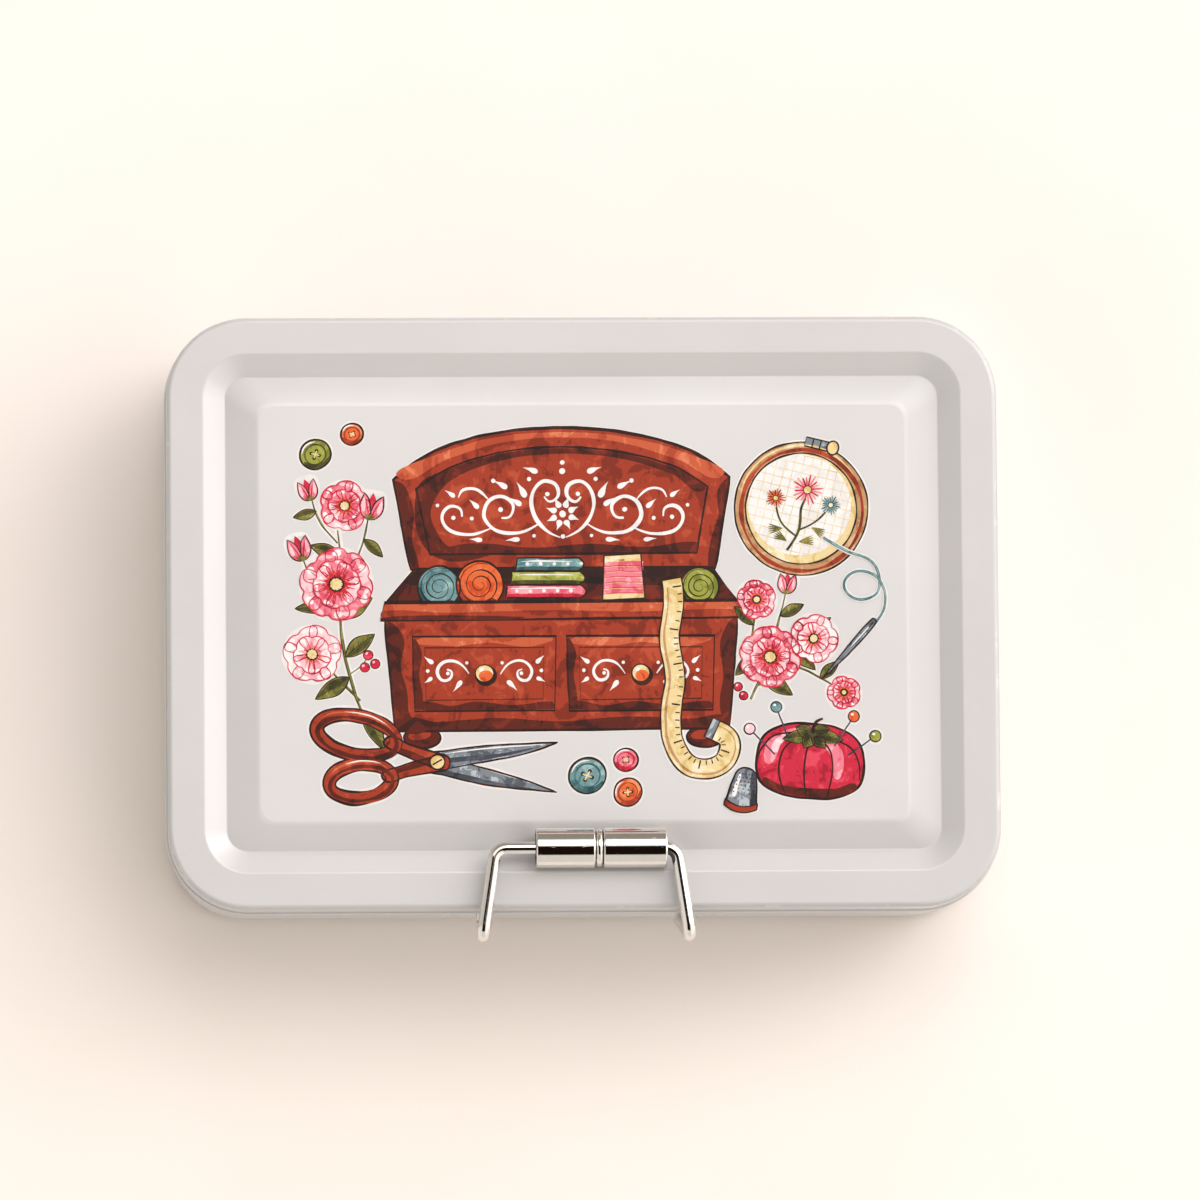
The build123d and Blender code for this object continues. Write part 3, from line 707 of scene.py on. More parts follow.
def chest():
    g = Print("chest")
    L = 2
    # feet
    for x in (-37.0, 27.5):
        g.shape("rust_deep", oval(x, -28.6, 4.2, 2.4), L)
        g.fill("rust", oval(x - 0.6, -28.0, 2.6, 1.1, 8, 8), L + 1)
    # front face, a little narrower at the foot
    face = [(-43.0, -27.0, 1), (33.0, -26.6, 1), (35.2, -1.0, 1), (-45.4, -1.4, 1)]
    g.shape("rust", face, L + 1, width=0.8)
    # darker side and foot, brushed along
    g.fill("rust_deep", [(-45.2, -1.6, 1), (-43.0, -26.8, 1), (-36.0, -26.8), (-39.6, -23.6), (-40.4, -18.2), (-41.8, -12.0), (-41.0, -6.4), (-42.8, -3.0)], L + 2)
    g.fill("rust_deep", [(-42.8, -26.8, 1), (32.8, -26.4, 1), (33.1, -23.6), (24.0, -24.4), (10.0, -23.9), (-6.0, -24.9), (-20.0, -24.1), (-34.0, -24.9), (-40.0, -24.0)], L + 2)
    g.fill("rust_deep", [(35.0, -1.2, 1), (33.0, -26.4, 1), (31.0, -22.0), (31.8, -14.0), (31.2, -7.0), (33.0, -2.6)], L + 2)
    # drawers
    for x0, x1 in ((-38.6, -6.8), (-3.4, 29.4)):
        pan = [(x0, -22.6, 1), (x1, -22.4, 1), (x1 + 0.5, -5.4, 1), (x0 - 0.5, -5.4, 1)]
        g.fill("rust", pan, L + 3, False)
        g.fill("rust_lit", [(x0 + 0.6, -6.2), (x0 + 9, -7.6), (x0 + 17, -6.9), (x1 - 6, -7.8), (x1 - 0.4, -6.4), (x1 - 0.2, -5.8), (x0 + 12, -5.8)], L + 4)
        g.fill("rust_deep", [(x0 + 0.2, -22.2), (x1 - 0.2, -22.0), (x1 - 0.6, -20.4), (x1 - 9, -21.2), (x1 - 18, -20.4), (x0 + 8, -21.3), (x0 + 1.4, -20.2)], L + 4)
        g.fill("rust_deep", [(x0 - 0.3, -6.0), (x0 + 0.1, -22.0), (x0 + 1.8, -20.0), (x0 + 1.0, -14.0), (x0 + 1.6, -9.0)], L + 4)
        g.line("line", pan, 0.55, L + 5, closed=True, smooth=False)
        inset = [(x0 + 2.6, -20.0, 1), (x1 - 2.6, -19.8, 1), (x1 - 2.3, -8.0, 1), (x0 + 2.3, -8.0, 1)]
        g.line("rust_deep", inset, 0.35, L + 5, closed=True, smooth=False)
        cx = (x0 + x1) / 2
        # knob
        g.fill("line", oval(cx + 0.3, -14.4, 2.5, 2.4), L + 5)
        g.fill("cream", oval(cx, -13.9, 2.1, 2.0), L + 6)
        g.fill("orange", oval(cx + 0.3, -14.5, 1.6, 1.3), L + 7)
        g.fill("white", oval(cx - 0.7, -13.1, 0.6, 0.4, 30, 8), L + 8)
        g.line("line", oval(cx, -13.9, 2.1, 2.0), 0.35, L + 8, closed=True)
        # white scrolls to both sides of the knob
        for m in (-1, 1):
            g.line("white", [(cx + m * 3.6, -14.0)] + [(cx + m * (x), y) for x, y in ((6.0, -11.4), (9.0, -11.2), (10.8, -13.2), (9.9, -15.3), (8.0, -15.2), (7.5, -13.6), (8.6, -13.0))],
                   0.62, L + 7, ends=(0.35, 0.5))
            g.fill("white", oval(cx + m * 8.4, -13.9, 0.42), L + 7)
            comma(g, cx + m * 5.2, -15.6, 3.2, -90 + m * 42, 1.2, L + 7)
            comma(g, cx + m * 11.7, -11.6, 2.6, 90 - m * 50, 1.1, L + 7)
            comma(g, cx + m * 11.9, -14.9, 2.2, -90 + m * 60, 1.0, L + 7)
            g.fill("white", oval(cx + m * 4.0, -11.5, 0.38), L + 7)
            g.fill("white", oval(cx + m * 13.0, -13.3, 0.42), L + 7)
    # top rail and the dark inside
    g.shape("rust_lit", [(-46.4, -1.6, 1), (36.2, -1.2, 1), (35.4, 2.6, 1), (-45.4, 2.4, 1)], 20, width=0.7, smooth=False)
    g.fill("rust", [(-46.0, -1.2), (-20, -1.4), (10, -1.0), (35.8, -0.9), (35.6, 0.6), (14, 0.2), (-12, 0.5), (-30, 0.0), (-45.8, 0.5)], 21)
    g.fill("rust_deep", [(-46.2, -1.3), (-30, -1.5), (-14, -1.3), (-24, -0.7), (-40, -0.6)], 22)
    inside = [(-45.0, 2.6, 1), (35.0, 2.8, 1), (29.6, 10.2, 1), (-38.6, 10.0, 1)]
    g.line("ground", inside, 1.25, 1, closed=True, smooth=False)
    g.fill("rust_deep", inside, 2, False)
    g.fill("line", [(-38.0, 9.6), (29.0, 9.8), (31.0, 7.0), (12, 6.2), (-8, 7.0), (-28, 6.0), (-40.6, 6.8)], 3)
    g.line("line", inside, 0.6, 4, closed=True, smooth=False)


def chest_lid():
    g = Print("chest_lid")
    frame_ = [(-39.4, 10.0, 1), (30.2, 10.2, 1), (33.6, 31.0, 1), (24.0, 37.4), (10.0, 41.2), (-5.0, 42.4), (-20.0, 41.2), (-33.6, 37.2), (-43.2, 30.6, 1)]
    g.shape("rust", frame_, 2, width=0.8)
    g.fill("rust_lit", [(-42.0, 31.0), (-33.0, 36.4), (-20.0, 40.2), (-5.0, 41.4), (10.0, 40.2), (24.0, 36.4), (32.0, 31.2), (22.0, 35.0), (9.0, 38.9), (-5.0, 40.2), (-19.0, 38.9), (-31.0, 35.2)], 3)
    g.fill("rust_deep", [(-43.0, 30.4, 1), (-39.4, 10.2, 1), (-37.6, 10.2), (-39.0, 17.0), (-38.6, 23.0), (-40.6, 29.0)], 3)
    g.fill("rust_deep", [(33.4, 31.0, 1), (30.0, 10.4, 1), (28.6, 10.4), (29.4, 17.0), (31.0, 22.0), (31.0, 28.0)], 3)
    panel = [(-35.0, 13.4, 1), (26.0, 13.6, 1), (28.6, 28.8, 1), (20.6, 33.6), (8.0, 36.9), (-5.0, 38.0), (-18.0, 36.9), (-30.0, 33.4), (-38.0, 28.4, 1)]
    g.fill("rust", panel, 4)
    g.fill("rust_deep", [(-37.8, 28.4), (-34.9, 13.6), (-20, 13.6), (-30.5, 15.2), (-33.6, 19.0), (-34.6, 24.0), (-30.0, 30.4), (-18.0, 35.0), (-5.0, 36.4), (8.0, 35.4), (21.0, 31.4), (26.0, 27.6),
                         (28.2, 28.8), (20.6, 33.2), (8.0, 36.6), (-5.0, 37.7), (-18.0, 36.6), (-30.0, 33.1)], 5)
    g.fill("rust_deep", [(-34.0, 13.6), (25.8, 13.8), (26.2, 16.0), (14.0, 15.0), (2.0, 15.7), (-12.0, 14.9), (-26.0, 15.9)], 5)
    g.line("line", panel, 0.5, 6, closed=True)
    # white scrollwork, both halves alike
    cx, L = -4.6, 7
    for m in (-1, 1):
        def q(pts):
            return [(cx + m * x, y) for x, y in pts]
        g.line("white", q([(0.6, 17.2), (4.0, 19.0), (6.6, 22.6), (7.0, 26.8), (4.6, 30.0), (1.6, 29.4), (1.0, 26.8), (2.8, 25.4), (4.2, 26.6)]), 0.85, L, ends=(0.3, 0.5))
        g.fill("white", oval(cx + m * 3.5, 27.2, 0.5), L)
        g.line("white", q([(5.4, 20.4), (9.6, 18.4), (14.6, 18.6), (17.8, 21.6), (17.2, 25.2), (14.0, 26.6), (11.4, 24.8), (11.9, 22.2), (14.0, 21.7)]), 0.85, L, ends=(0.3, 0.5))
        g.fill("white", oval(cx + m * 14.2, 23.6, 0.55), L)
        g.line("white", q([(16.0, 19.6), (20.6, 18.0), (25.6, 18.8), (27.6, 21.6), (26.2, 24.2), (23.6, 24.0), (23.0, 22.0)]), 0.72, L, ends=(0.3, 0.5))
        g.fill("white", oval(cx + m * 25.0, 21.8, 0.5), L)
        g.line("white", q([(17.0, 26.0), (19.6, 28.2), (22.6, 28.2), (23.8, 26.4)]), 0.6, L, ends=(0.3, 0.4))
        for x, y, ln, an, w in ((8.4, 26.4, 4.2, 58, 1.6), (9.4, 24.6, 3.4, 28, 1.3), (12.6, 28.6, 3.6, 24, 1.4), (19.2, 24.0, 3.0, 40, 1.2), (9.8, 16.8, 3.4, -8, 1.2), (18.4, 16.6, 3.2, 4, 1.1), (24.6, 26.6, 2.8, 30, 1.1), (5.6, 32.2, 3.6, 16, 1.4)):
            comma(g, cx + m * x, y, ln, an if m > 0 else 180 - an, w * m, L)
        for x, y, r in ((7.6, 30.6, 0.5), (15.8, 30.2, 0.5), (20.8, 21.6, 0.45), (6.6, 17.6, 0.4), (28.6, 24.6, 0.42)):
            g.fill("white", oval(cx + m * x, y, r), L)
    # a flower head in the middle
    for i in range(8):
        a = 22.5 + 45 * i
        comma(g, cx + 1.5 * math.cos(math.radians(a)), 22.6 + 1.5 * math.sin(math.radians(a)), 2.5, a, 1.5, L)
    g.fill("white", oval(cx, 22.6, 0.75), L)
    for y, r in ((32.4, 0.7), (34.4, 0.5), (17.4, 0.5)):
        g.fill("white", oval(cx, y, r), L)


def cloths():
    """Folded and rolled cloth in the chest."""
    g = Print("cloths")
    # rolled, seen from the end
    for x, y, r, body, deep in ((-33.0, 5.8, 4.9, "teal", "teal_deep"), (-23.6, 6.4, 5.4, "orange", "rust"), (26.6, 5.8, 4.4, "lime", "olive_deep")):
        g.fill(body, oval(x, y, r), 9)
        g.fill(deep, [(x - r * 0.98, y), (x - r * 0.7, y - r * 0.7), (x, y - r), (x + r * 0.7, y - r * 0.7), (x + r * 0.5, y - r * 0.55), (x, y - r * 0.72), (x - r * 0.55, y - r * 0.5)], 10)
        g.line("line", spiral(x, y, r * 0.92, r * 0.12, 70, 70 + 1080, 60), 0.26, 11, ends=(0.4, 0.4), brush=0.4)
        g.line("line", oval(x, y, r), 0.45, 11, closed=True)
    # folded stack
    for i, (body, deep) in enumerate((("pink", "red"), ("lime", "olive_deep"), ("teal", "teal_deep"))):
        y = 3.4 + i * 3.1
        w = 9.2 - i * 0.7
        x = -8.6 + 0.5 * i
        fold = [(x - w, y, 1), (x + w - 1.4, y - 0.1, 1), (x + w, y + 1.3), (x + w - 1.2, y + 2.9, 1), (x - w + 0.4, y + 2.9, 1)]
        g.fill(body, fold, 9 + i)
        g.fill(deep, [(x - w, y), (x + w - 1.4, y), (x + w - 0.6, y + 0.7), (x + 2, y + 0.9), (x - w + 0.2, y + 0.8)], 10 + i)
        g.line("white", [(x - w + 1.2, y + 2.1), (x, y + 2.2), (x + w - 2.6, y + 2.1)], 0.3, 11 + i, ends=(0.3, 0.3))
        g.line("line", fold, 0.4, 12 + i, closed=True)
        for k in range(5 if i != 1 else 0):
            g.fill("white", oval(x - w + 2.6 + k * 3.1, y + 1.55, 0.42), 12 + i)
    # a card wound with ribbon
    card = [(4.4, 2.8, 1), (14.0, 3.2, 1), (13.2, 13.4, 1), (4.8, 13.0, 1)]
    g.fill("cream", card, 9, False)
    for k in range(6):
        y = 4.6 + k * 1.25
        g.line("pink", [(4.6, y), (9, y + 0.35), (13.7, y + 0.15)], 1.05, 10)
        g.line("red", [(4.6, y - 0.5), (9, y - 0.15), (13.7, y - 0.35)], 0.2, 11, ends=(0.5, 0.5))
    g.line("line", card, 0.42, 12, closed=True, smooth=False)
    g.line("tan", [(8.2, 11.9), (9.4, 12.0)], 0.5, 12)


def shears():
    """Tailor's shears, blades to the right and a little open."""
    g = Print("shears", at=(-34.0, -34.2), turn=-4.0, lift=20)
    up = [(-3.0, 1.4), (2.0, 2.8), (12.0, 4.6), (27.5, 6.4, 1), (20.0, 3.2), (10.0, 0.6), (0.0, -1.8), (-4.4, -2.2)]
    lo = [(-3.0, -1.6), (2.0, -2.8), (12.0, -4.4), (28.0, -5.0, 1), (20.0, -2.6), (10.0, -0.4), (0.0, 1.8), (-4.2, 2.4)]
    for k, blade in ((4, lo), (6, up)):
        g.line("ground", blade, 1.25, 1, closed=True)
        g.fill("steel", blade, k)
    g.fill("steel_deep", [(-3.0, -1.6), (2.0, -2.8), (12.0, -4.4), (27.0, -5.0, 1), (14.0, -3.6), (4.0, -1.9)], 5)
    g.line("white", [(4.0, 1.0), (12.0, -0.9), (22.0, -3.1)], 0.35, 5, ends=(0.2, 0.2))
    g.line("line", lo, 0.42, 5, closed=True)
    g.fill("steel_deep", [(-2.0, 0.0), (6.0, 0.6), (14.0, 2.0), (26.0, 5.9, 1), (14.0, 2.9), (4.0, 1.4)], 7)
    g.line("white", [(2.0, 2.2), (12.0, 4.0), (24.0, 5.7)], 0.35, 7, ends=(0.2, 0.2))
    g.line("line", up, 0.42, 8, closed=True)
    # shanks and bows
    for m, big in ((1, True), (-1, False)):
        shank = [(2.4, m * -1.6), (-3.0, m * -0.4), (-8.0, m * 1.4), (-12.0, m * 3.4), (-10.8, m * 5.2), (-6.0, m * 3.6), (0.0, m * 2.2), (3.0, m * 1.2)]
        g.line("ground", shank, 1.25, 1, closed=True)
        g.fill("rust", shank, 9)
        g.fill("rust_deep", [(2.0, m * -1.4), (-3.0, m * -0.2), (-8.0, m * 1.7), (-11.6, m * 3.6), (-8.0, m * 2.8), (-2.0, m * 0.8)], 10)
        g.line("line", shank, 0.42, 11, closed=True)
        rx, ry, cx, cy, tn = (9.2, 4.4, -18.4, 5.0, -8) if big else (7.2, 3.9, -16.8, -5.4, 10)
        ringo = oval(cx, cy, rx, ry, tn, 16)
        g.line("ground", ringo, 4.2, 1, closed=True, brush=0.05)
        g.line("line", ringo, 3.3, 9, closed=True, brush=0.12)
        g.line("rust", ringo, 2.5, 10, closed=True, brush=0.12)
        g.line("rust_deep", oval(cx + 0.2, cy - 0.55, rx, ry, tn, 16), 0.9, 11, closed=True, brush=0.4)
        g.line("rust_lit", oval(cx - 0.2, cy + 0.45, rx + 0.1, ry + 0.1, tn, 16)[1:8], 0.55, 12, ends=(0.1, 0.1))
        g.line("white", oval(cx - 0.1, cy + 0.5, rx + 0.2, ry + 0.2, tn, 16)[2:6], 0.26, 13, ends=(0.1, 0.1))
    g.fill("cream", oval(0.4, 0.1, 1.7), 12)
    g.line("line", oval(0.4, 0.1, 1.7), 0.4, 13, closed=True)
    g.line("line", [(-0.6, -0.6), (1.4, 0.8)], 0.4, 14)


def hoop():
    """Embroidery hoop with a sprig worked in it, and a threaded needle."""
    g = Print("hoop", at=(50.0, 23.6), turn=-14)
    r = 14.0
    g.line("white", oval(0, 0, r + 0.6), 2.4, 9, closed=True, brush=0.05)
    g.fill("cream", oval(0, 0, r - 0.6, None, 0, 24), 9)
    g.fill("white", oval(-0.6, 0.8, r - 2.2, r - 2.4, 0, 20), 10)
    for i in range(-6, 7):
        h = math.sqrt(max(0.0, (r - 1.8) ** 2 - (i * 2.0) ** 2))
        g.line("cream", [(i * 2.0, -h), (i * 2.0 + 0.1, h)], 0.14, 11, brush=0.1)
        g.line("cream", [(-h, i * 2.0), (h, i * 2.0 + 0.1)], 0.14, 11, brush=0.1)
    g.line("line", oval(0, 0, r, None, 0, 24), 2.9, 12, closed=True, brush=0.06)
    g.line("tan", oval(0, 0, r, None, 0, 24), 2.2, 13, closed=True, brush=0.06)
    g.line("rust", oval(0.25, -0.35, r - 0.1, None, 0, 24), 0.75, 14, closed=True, brush=0.5)
    g.line("cream", oval(-0.1, 0.3, r + 0.2, None, 0, 24)[3:13], 0.5, 15, ends=(0.1, 0.1))
    # screw at the top
    g.shape("steel", [(-2.6, r + 0.2, 1), (2.6, r + 0.2, 1), (2.6, r + 2.4, 1), (-2.6, r + 2.4, 1)], 14, width=0.35, smooth=False)
    g.shape("cream", oval(3.8, r + 1.3, 1.3, 1.6), 15, width=0.35)
    g.line("line", [(-0.9, r + 0.2), (-0.9, r + 2.4)], 0.3, 16)
    g.line("line", [(0.9, r + 0.2), (0.9, r + 2.4)], 0.3, 16)
    # worked sprig: stem, leaves, a red and teal flower in long stitches
    g.line("olive_deep", [(-1.0, -10.0), (0.6, -5.0), (0.0, 0.0), (0.4, 2.4)], 0.6, 12)
    g.line("olive_deep", [(0.4, -5.0), (3.6, -2.4), (5.6, 0.6)], 0.45, 12)
    g.line("olive_deep", [(0.3, -6.4), (-3.6, -4.2), (-5.6, -1.0)], 0.45, 12)
    for x, y, an in ((1.4, -7.4, 20), (-1.6, -8.0, 160), (3.4, -3.6, -16), (-3.2, -5.4, 196)):
        for k in range(-2, 3):
            a = math.radians(an + k * 10)
            g.line("olive", [(x, y), (x + 3.2 * math.cos(a), y + 3.2 * math.sin(a))], 0.34, 13, ends=(0.6, 0.2))
    for x, y, rr, c1, c2 in ((0.4, 4.6, 3.6, "red", "pink"), (6.4, 2.4, 2.3, "teal", "teal_deep"), (-6.2, 1.0, 2.3, "orange", "rust")):
        for k in range(20):
            a = math.radians(k * 18)
            L = rr * (1.0 if k % 4 < 2 else 0.82)
            g.line(c1 if k % 2 else c2, [(x + 0.22 * rr * math.cos(a), y + 0.22 * rr * math.sin(a)), (x + L * math.cos(a), y + L * math.sin(a))], 0.36, 14, ends=(0.9, 0.5))
        g.fill("cream", oval(x, y, rr * 0.26), 15)
        g.line("line", oval(x, y, rr * 0.26), 0.2, 16, closed=True)
    n_ = Print("needle", lift=20)
    # thread runs from the cloth in loops, through the needle's eye
    thread = [(55.0, 17.0), (60.0, 14.0), (66.4, 11.0), (67.4, 4.6), (62.6, 2.8), (59.6, 6.0), (62.6, 9.2), (67.6, 7.4), (69.0, 1.6), (66.2, -3.4)]
    n_.line("white", thread, 1.15, 2, brush=0.05)
    n_.line("teal_deep", thread, 0.52, 17, brush=0.1)
    n_.line("teal", thread, 0.30, 18, brush=0.1)
    needle = [(66.4, -3.6, 1), (65.4, -2.4), (60.6, -7.6), (55.0, -14.6, 1), (61.6, -8.6)]
    n_.shape("steel", [(67.0, -2.4), (66.2, -1.6), (60.4, -8.0), (54.6, -15.2, 1), (61.4, -8.9)], 17, width=0.28)
    n_.line("white", [(66.0, -2.7), (61.0, -8.2)], 0.22, 19, ends=(0.3, 0.3))
    n_.line("line", [(66.2, -2.6), (65.2, -3.7)], 0.24, 19)


def pincushion():
    g = Print("pincushion", at=(51.5, -33.6), turn=-4)
    body = [(-12.2, -1.0), (-11.0, -6.0), (-6.0, -8.6), (0.0, -9.2), (6.6, -8.6), (11.4, -5.8), (12.4, -0.6), (10.6, 4.6), (5.6, 7.4), (0.0, 7.8), (-5.8, 7.4), (-10.8, 4.4)]
    g.shape("red", body, 3, width=0.6)
    g.fill("pink", [(-10.6, 0.6), (-9.6, 3.6), (-5.4, 6.2), (-3.0, 6.4), (-6.6, 3.4), (-8.0, -0.6), (-9.6, -2.0)], 4)
    g.fill("pink_lit", [(-9.0, 1.8), (-7.6, 4.2), (-5.4, 5.2), (-7.0, 2.6), (-7.8, 0.8)], 5)
    g.fill("pink", [(2.2, 5.6), (6.6, 3.0), (7.8, -1.4), (6.2, -4.4), (5.2, 0.0), (2.6, 3.6)], 4)
    g.fill("rust_deep", [(-10.6, -5.6), (-6.0, -8.2), (0.0, -8.9), (6.6, -8.3), (11.0, -5.6), (6.0, -6.6), (0.0, -6.9), (-6.0, -6.6)], 4)
    for seam in ([(0.2, 5.4), (-5.6, 2.4), (-7.0, -3.0), (-5.2, -8.6)], [(0.2, 5.4), (-1.0, 1.0), (-1.2, -4.0), (-0.4, -9.0)], [(0.2, 5.4), (4.4, 2.0), (5.2, -3.4), (4.2, -8.8)],
                 [(0.2, 5.4), (8.4, 3.4), (11.0, 0.0), (11.6, -4.4)], [(0.2, 5.4), (-7.6, 5.0), (-11.2, 1.6), (-12.0, -2.4)]):
        g.line("line", seam, 0.4, 6, ends=(1, 0.5))
    # felt leaves on top
    for a, ln in ((200, 7.2), (250, 5.6), (300, 6.0), (345, 7.4), (30, 4.4), (150, 4.4)):
        c, s = math.cos(math.radians(a)), math.sin(math.radians(a))
        x1, y1 = 0.2 + ln * c, 5.6 + ln * s * 0.62
        leaf(g, 0.2, 5.6, x1, y1, 3.0, 7, halo=False)
    g.fill("olive_deep", oval(0.2, 5.8, 1.3, 0.9), 10)
    g.line("line", [(0.2, 5.8), (0.8, 8.2), (2.4, 9.2)], 0.7, 10, ends=(1, 0.8))
    # pins
    for x0, y0, x1, y1, head in ((-5.0, 3.6, -8.4, 11.2, "teal"), (5.4, 3.2, 9.4, 10.2, "orange"), (8.6, 1.2, 14.6, 6.0, "lime"), (-8.2, 0.4, -14.2, 5.8, "pink_lit")):
        g.line("ground", [(x0, y0), (x1, y1)], 0.95, 1, brush=0.05)
        g.line("steel_deep", [(x0, y0), (x1, y1)], 0.34, 11, brush=0.05)
        g.shape(head, oval(x1, y1, 1.25), 12, width=0.3)
        g.fill("white", oval(x1 - 0.4, y1 + 0.4, 0.35, 0.28, 0, 8), 14)


def tape():
    """Measuring tape over the chest's rail, down its front and curled on the table, with plain tick marks."""
    g = Print("tape", lift=20)
    down = [(20.2, 7.4), (20.6, 2.4), (19.6, -6.0), (20.8, -15.0), (19.8, -23.0), (20.4, -30.0), (24.4, -35.4), (31.0, -35.0), (33.2, -30.0), (30.0, -27.2)]
    W = 4.2
    g.line("white", down, W + 1.6, 1, brush=0.0)
    g.line("line", down, W + 0.7, 13, brush=0.04)
    g.line("cream", down, W, 14, brush=0.04)
    path = spline(down, False)
    total, marks = 0.0, []
    for a, b in zip(path, path[1:]):
        total += (b - a).length
        if total >= 1.45:
            total = 0.0
            d = (b - a).normalized()
            marks.append((b, Vector((-d.y, d.x))))
    for i, (p, s) in enumerate(marks):
        ln = 1.0 if i % 5 else 2.0
        a, b = p + s * (W / 2 - 0.15), p + s * (W / 2 - 0.15 - ln)
        g.line("line", [(a.x, a.y), (b.x, b.y)], 0.26 if i % 5 else 0.34, 16, smooth=False, brush=0.1)
    g.line("tan", [(p.x - s.x * 1.2, p.y - s.y * 1.2) for p, s in marks], 0.55, 15, ends=(0.4, 0.4))
    # brass end
    p = path[-1]
    d = (path[-1] - path[-3]).normalized()
    s = Vector((-d.y, d.x))
    corner = [p + s * (W / 2 + 0.2), p + s * (W / 2 + 0.2) + d * 1.8, p - s * (W / 2 + 0.2) + d * 1.8, p - s * (W / 2 + 0.2)]
    g.shape("steel", [(c.x, c.y) for c in corner], 16, width=0.35, smooth=False)


def buttons():
    g = Print("buttons")
    for x, y, r, body, deep, turn in ((0.6, -37.4, 4.3, "teal", "teal_deep", 20), (9.8, -41.2, 3.3, "orange", "rust", 50), (9.4, -33.8, 2.8, "pink", "red", 5), (-61.0, 36.4, 3.6, "lime", "olive_deep", 30), (-52.6, 41.0, 2.6, "orange", "rust", 15)):
        b = g.local((x, y), turn)
        b.shape(body, oval(0, 0, r, r * 0.94), 4, width=0.45)
        b.fill(deep, [(-r * 0.9, -r * 0.1), (-r * 0.5, -r * 0.78), (r * 0.1, -r * 0.88), (r * 0.7, -r * 0.6), (r * 0.2, -r * 0.66), (-r * 0.4, -r * 0.5)], 5)
        b.line(deep, oval(0, 0, r * 0.68, r * 0.62), 0.4, 6, closed=True, brush=0.4)
        b.line("white", oval(-0.1, 0.1, r * 0.84, r * 0.78)[2:6], 0.35, 6, ends=(0.1, 0.1))
        for k in range(4):
            a = math.radians(45 + 90 * k)
            b.fill("line", oval(r * 0.27 * math.cos(a), r * 0.25 * math.sin(a), r * 0.11, None, 0, 8), 7)
        b.line("cream", [(-r * 0.19, -r * 0.17), (r * 0.19, r * 0.17)], 0.3, 8)
        b.line("cream", [(-r * 0.19, r * 0.17), (r * 0.19, -r * 0.17)], 0.3, 8)


def thimble():
    g = Print("thimble", at=(36.0, -41.6), turn=-10, size=0.82, lift=20)
    body = [(-4.2, -2.4, 1), (-3.2, 4.0), (-2.2, 6.4), (0.0, 7.2), (2.2, 6.4), (3.2, 4.0), (4.2, -2.4, 1), (2.4, -3.5), (0, -3.9), (-2.4, -3.5)]
    g.shape("steel", body, 15, width=0.5)
    g.fill("steel_deep", [(2.0, 6.4), (3.1, 4.0), (4.0, -2.4, 1), (2.6, -3.2), (2.2, 0.0), (1.6, 4.0)], 16)
    g.fill("white", [(-2.9, -1.0), (-2.3, 3.4), (-1.5, 5.4), (-1.6, 2.4), (-1.9, -1.2)], 16)
    for row in range(6):
        y = 5.4 - row * 1.05
        for k in range(-2, 3):
            x = k * (0.9 + row * 0.12) + (0.4 if row % 2 else 0.0)
            g.fill("line", oval(x, y, 0.2, None, 0, 6), 17)
    g.shape("rust", [(-4.5, -2.2, 1), (-2.4, -3.3), (0, -3.7), (2.4, -3.3), (4.5, -2.2, 1), (4.6, -3.9, 1), (2.5, -5.0), (0, -5.4), (-2.5, -5.0), (-4.6, -3.9, 1)], 16, width=0.4)


def flowers_left():
    g = Print("flowers_left")
    stem(g, [(-49.0, -27.0), (-53.0, -16.0), (-55.4, -4.0), (-55.0, 8.0), (-56.0, 19.0)], 0.7)
    stem(g, [(-51.0, -20.0), (-57.0, -14.0), (-61.6, -8.0)], 0.55)
    stem(g, [(-55.2, -2.0), (-60.4, 4.0), (-64.0, 12.6)], 0.5)
    stem(g, [(-55.0, 8.0), (-51.0, 14.0), (-49.0, 22.0)], 0.5)
    stem(g, [(-56.0, 16.0), (-60.0, 21.0), (-62.0, 26.4)], 0.45)
    for a in ((-54.4, -10.0, -47.6, -4.8, 3.6, 1), (-55.4, -1.0, -48.2, 3.6, 3.4, -1), (-50.6, -22.4, -45.6, -31.4, 3.4, 1), (-53.6, -14.6, -61.4, -19.6, 3.8, 1),
              (-55.2, 4.6, -50.0, 9.4, 2.8, 1), (-55.6, 13.6, -62.4, 15.6, 3.0, 1), (-50.0, 17.0, -45.8, 12.8, 2.4, 1), (-57.8, 1.6, -65.8, 1.0, 3.0, -1), (-60.8, 23.4, -66.2, 22.0, 2.4, 1)):
        leaf(g, *a[:5], level=4, mirror=a[5])
    bloom(g.local((-56.4, 6.6), 12), 8.0, 6, seed=1.0, level=6)
    bloom(g.local((-62.0, -9.4), -20), 6.2, 5, seed=4.0, level=6, colors=("pink_lit", "pink", "white"))
    bloom(g.local((-54.4, 24.6), 40), 5.4, 5, seed=7.0, level=6, colors=("pink", "red", "pink_lit"))
    tulip(g.local((-48.8, 21.6), -12), 5.6, level=6)
    tulip(g.local((-64.0, 12.2), 16), 5.4, level=6)
    tulip(g.local((-62.2, 26.0), 14), 4.6, level=6, colors=("red", "pink", "pink_lit"))
    for x, y in ((-49.2, -9.6), (-47.6, -11.6), (-50.0, -12.4)):
        berry(g, x, y, 1.1)
    stem(g, [(-53.6, -14.0), (-50.8, -12.0), (-49.2, -10.0)], 0.3)


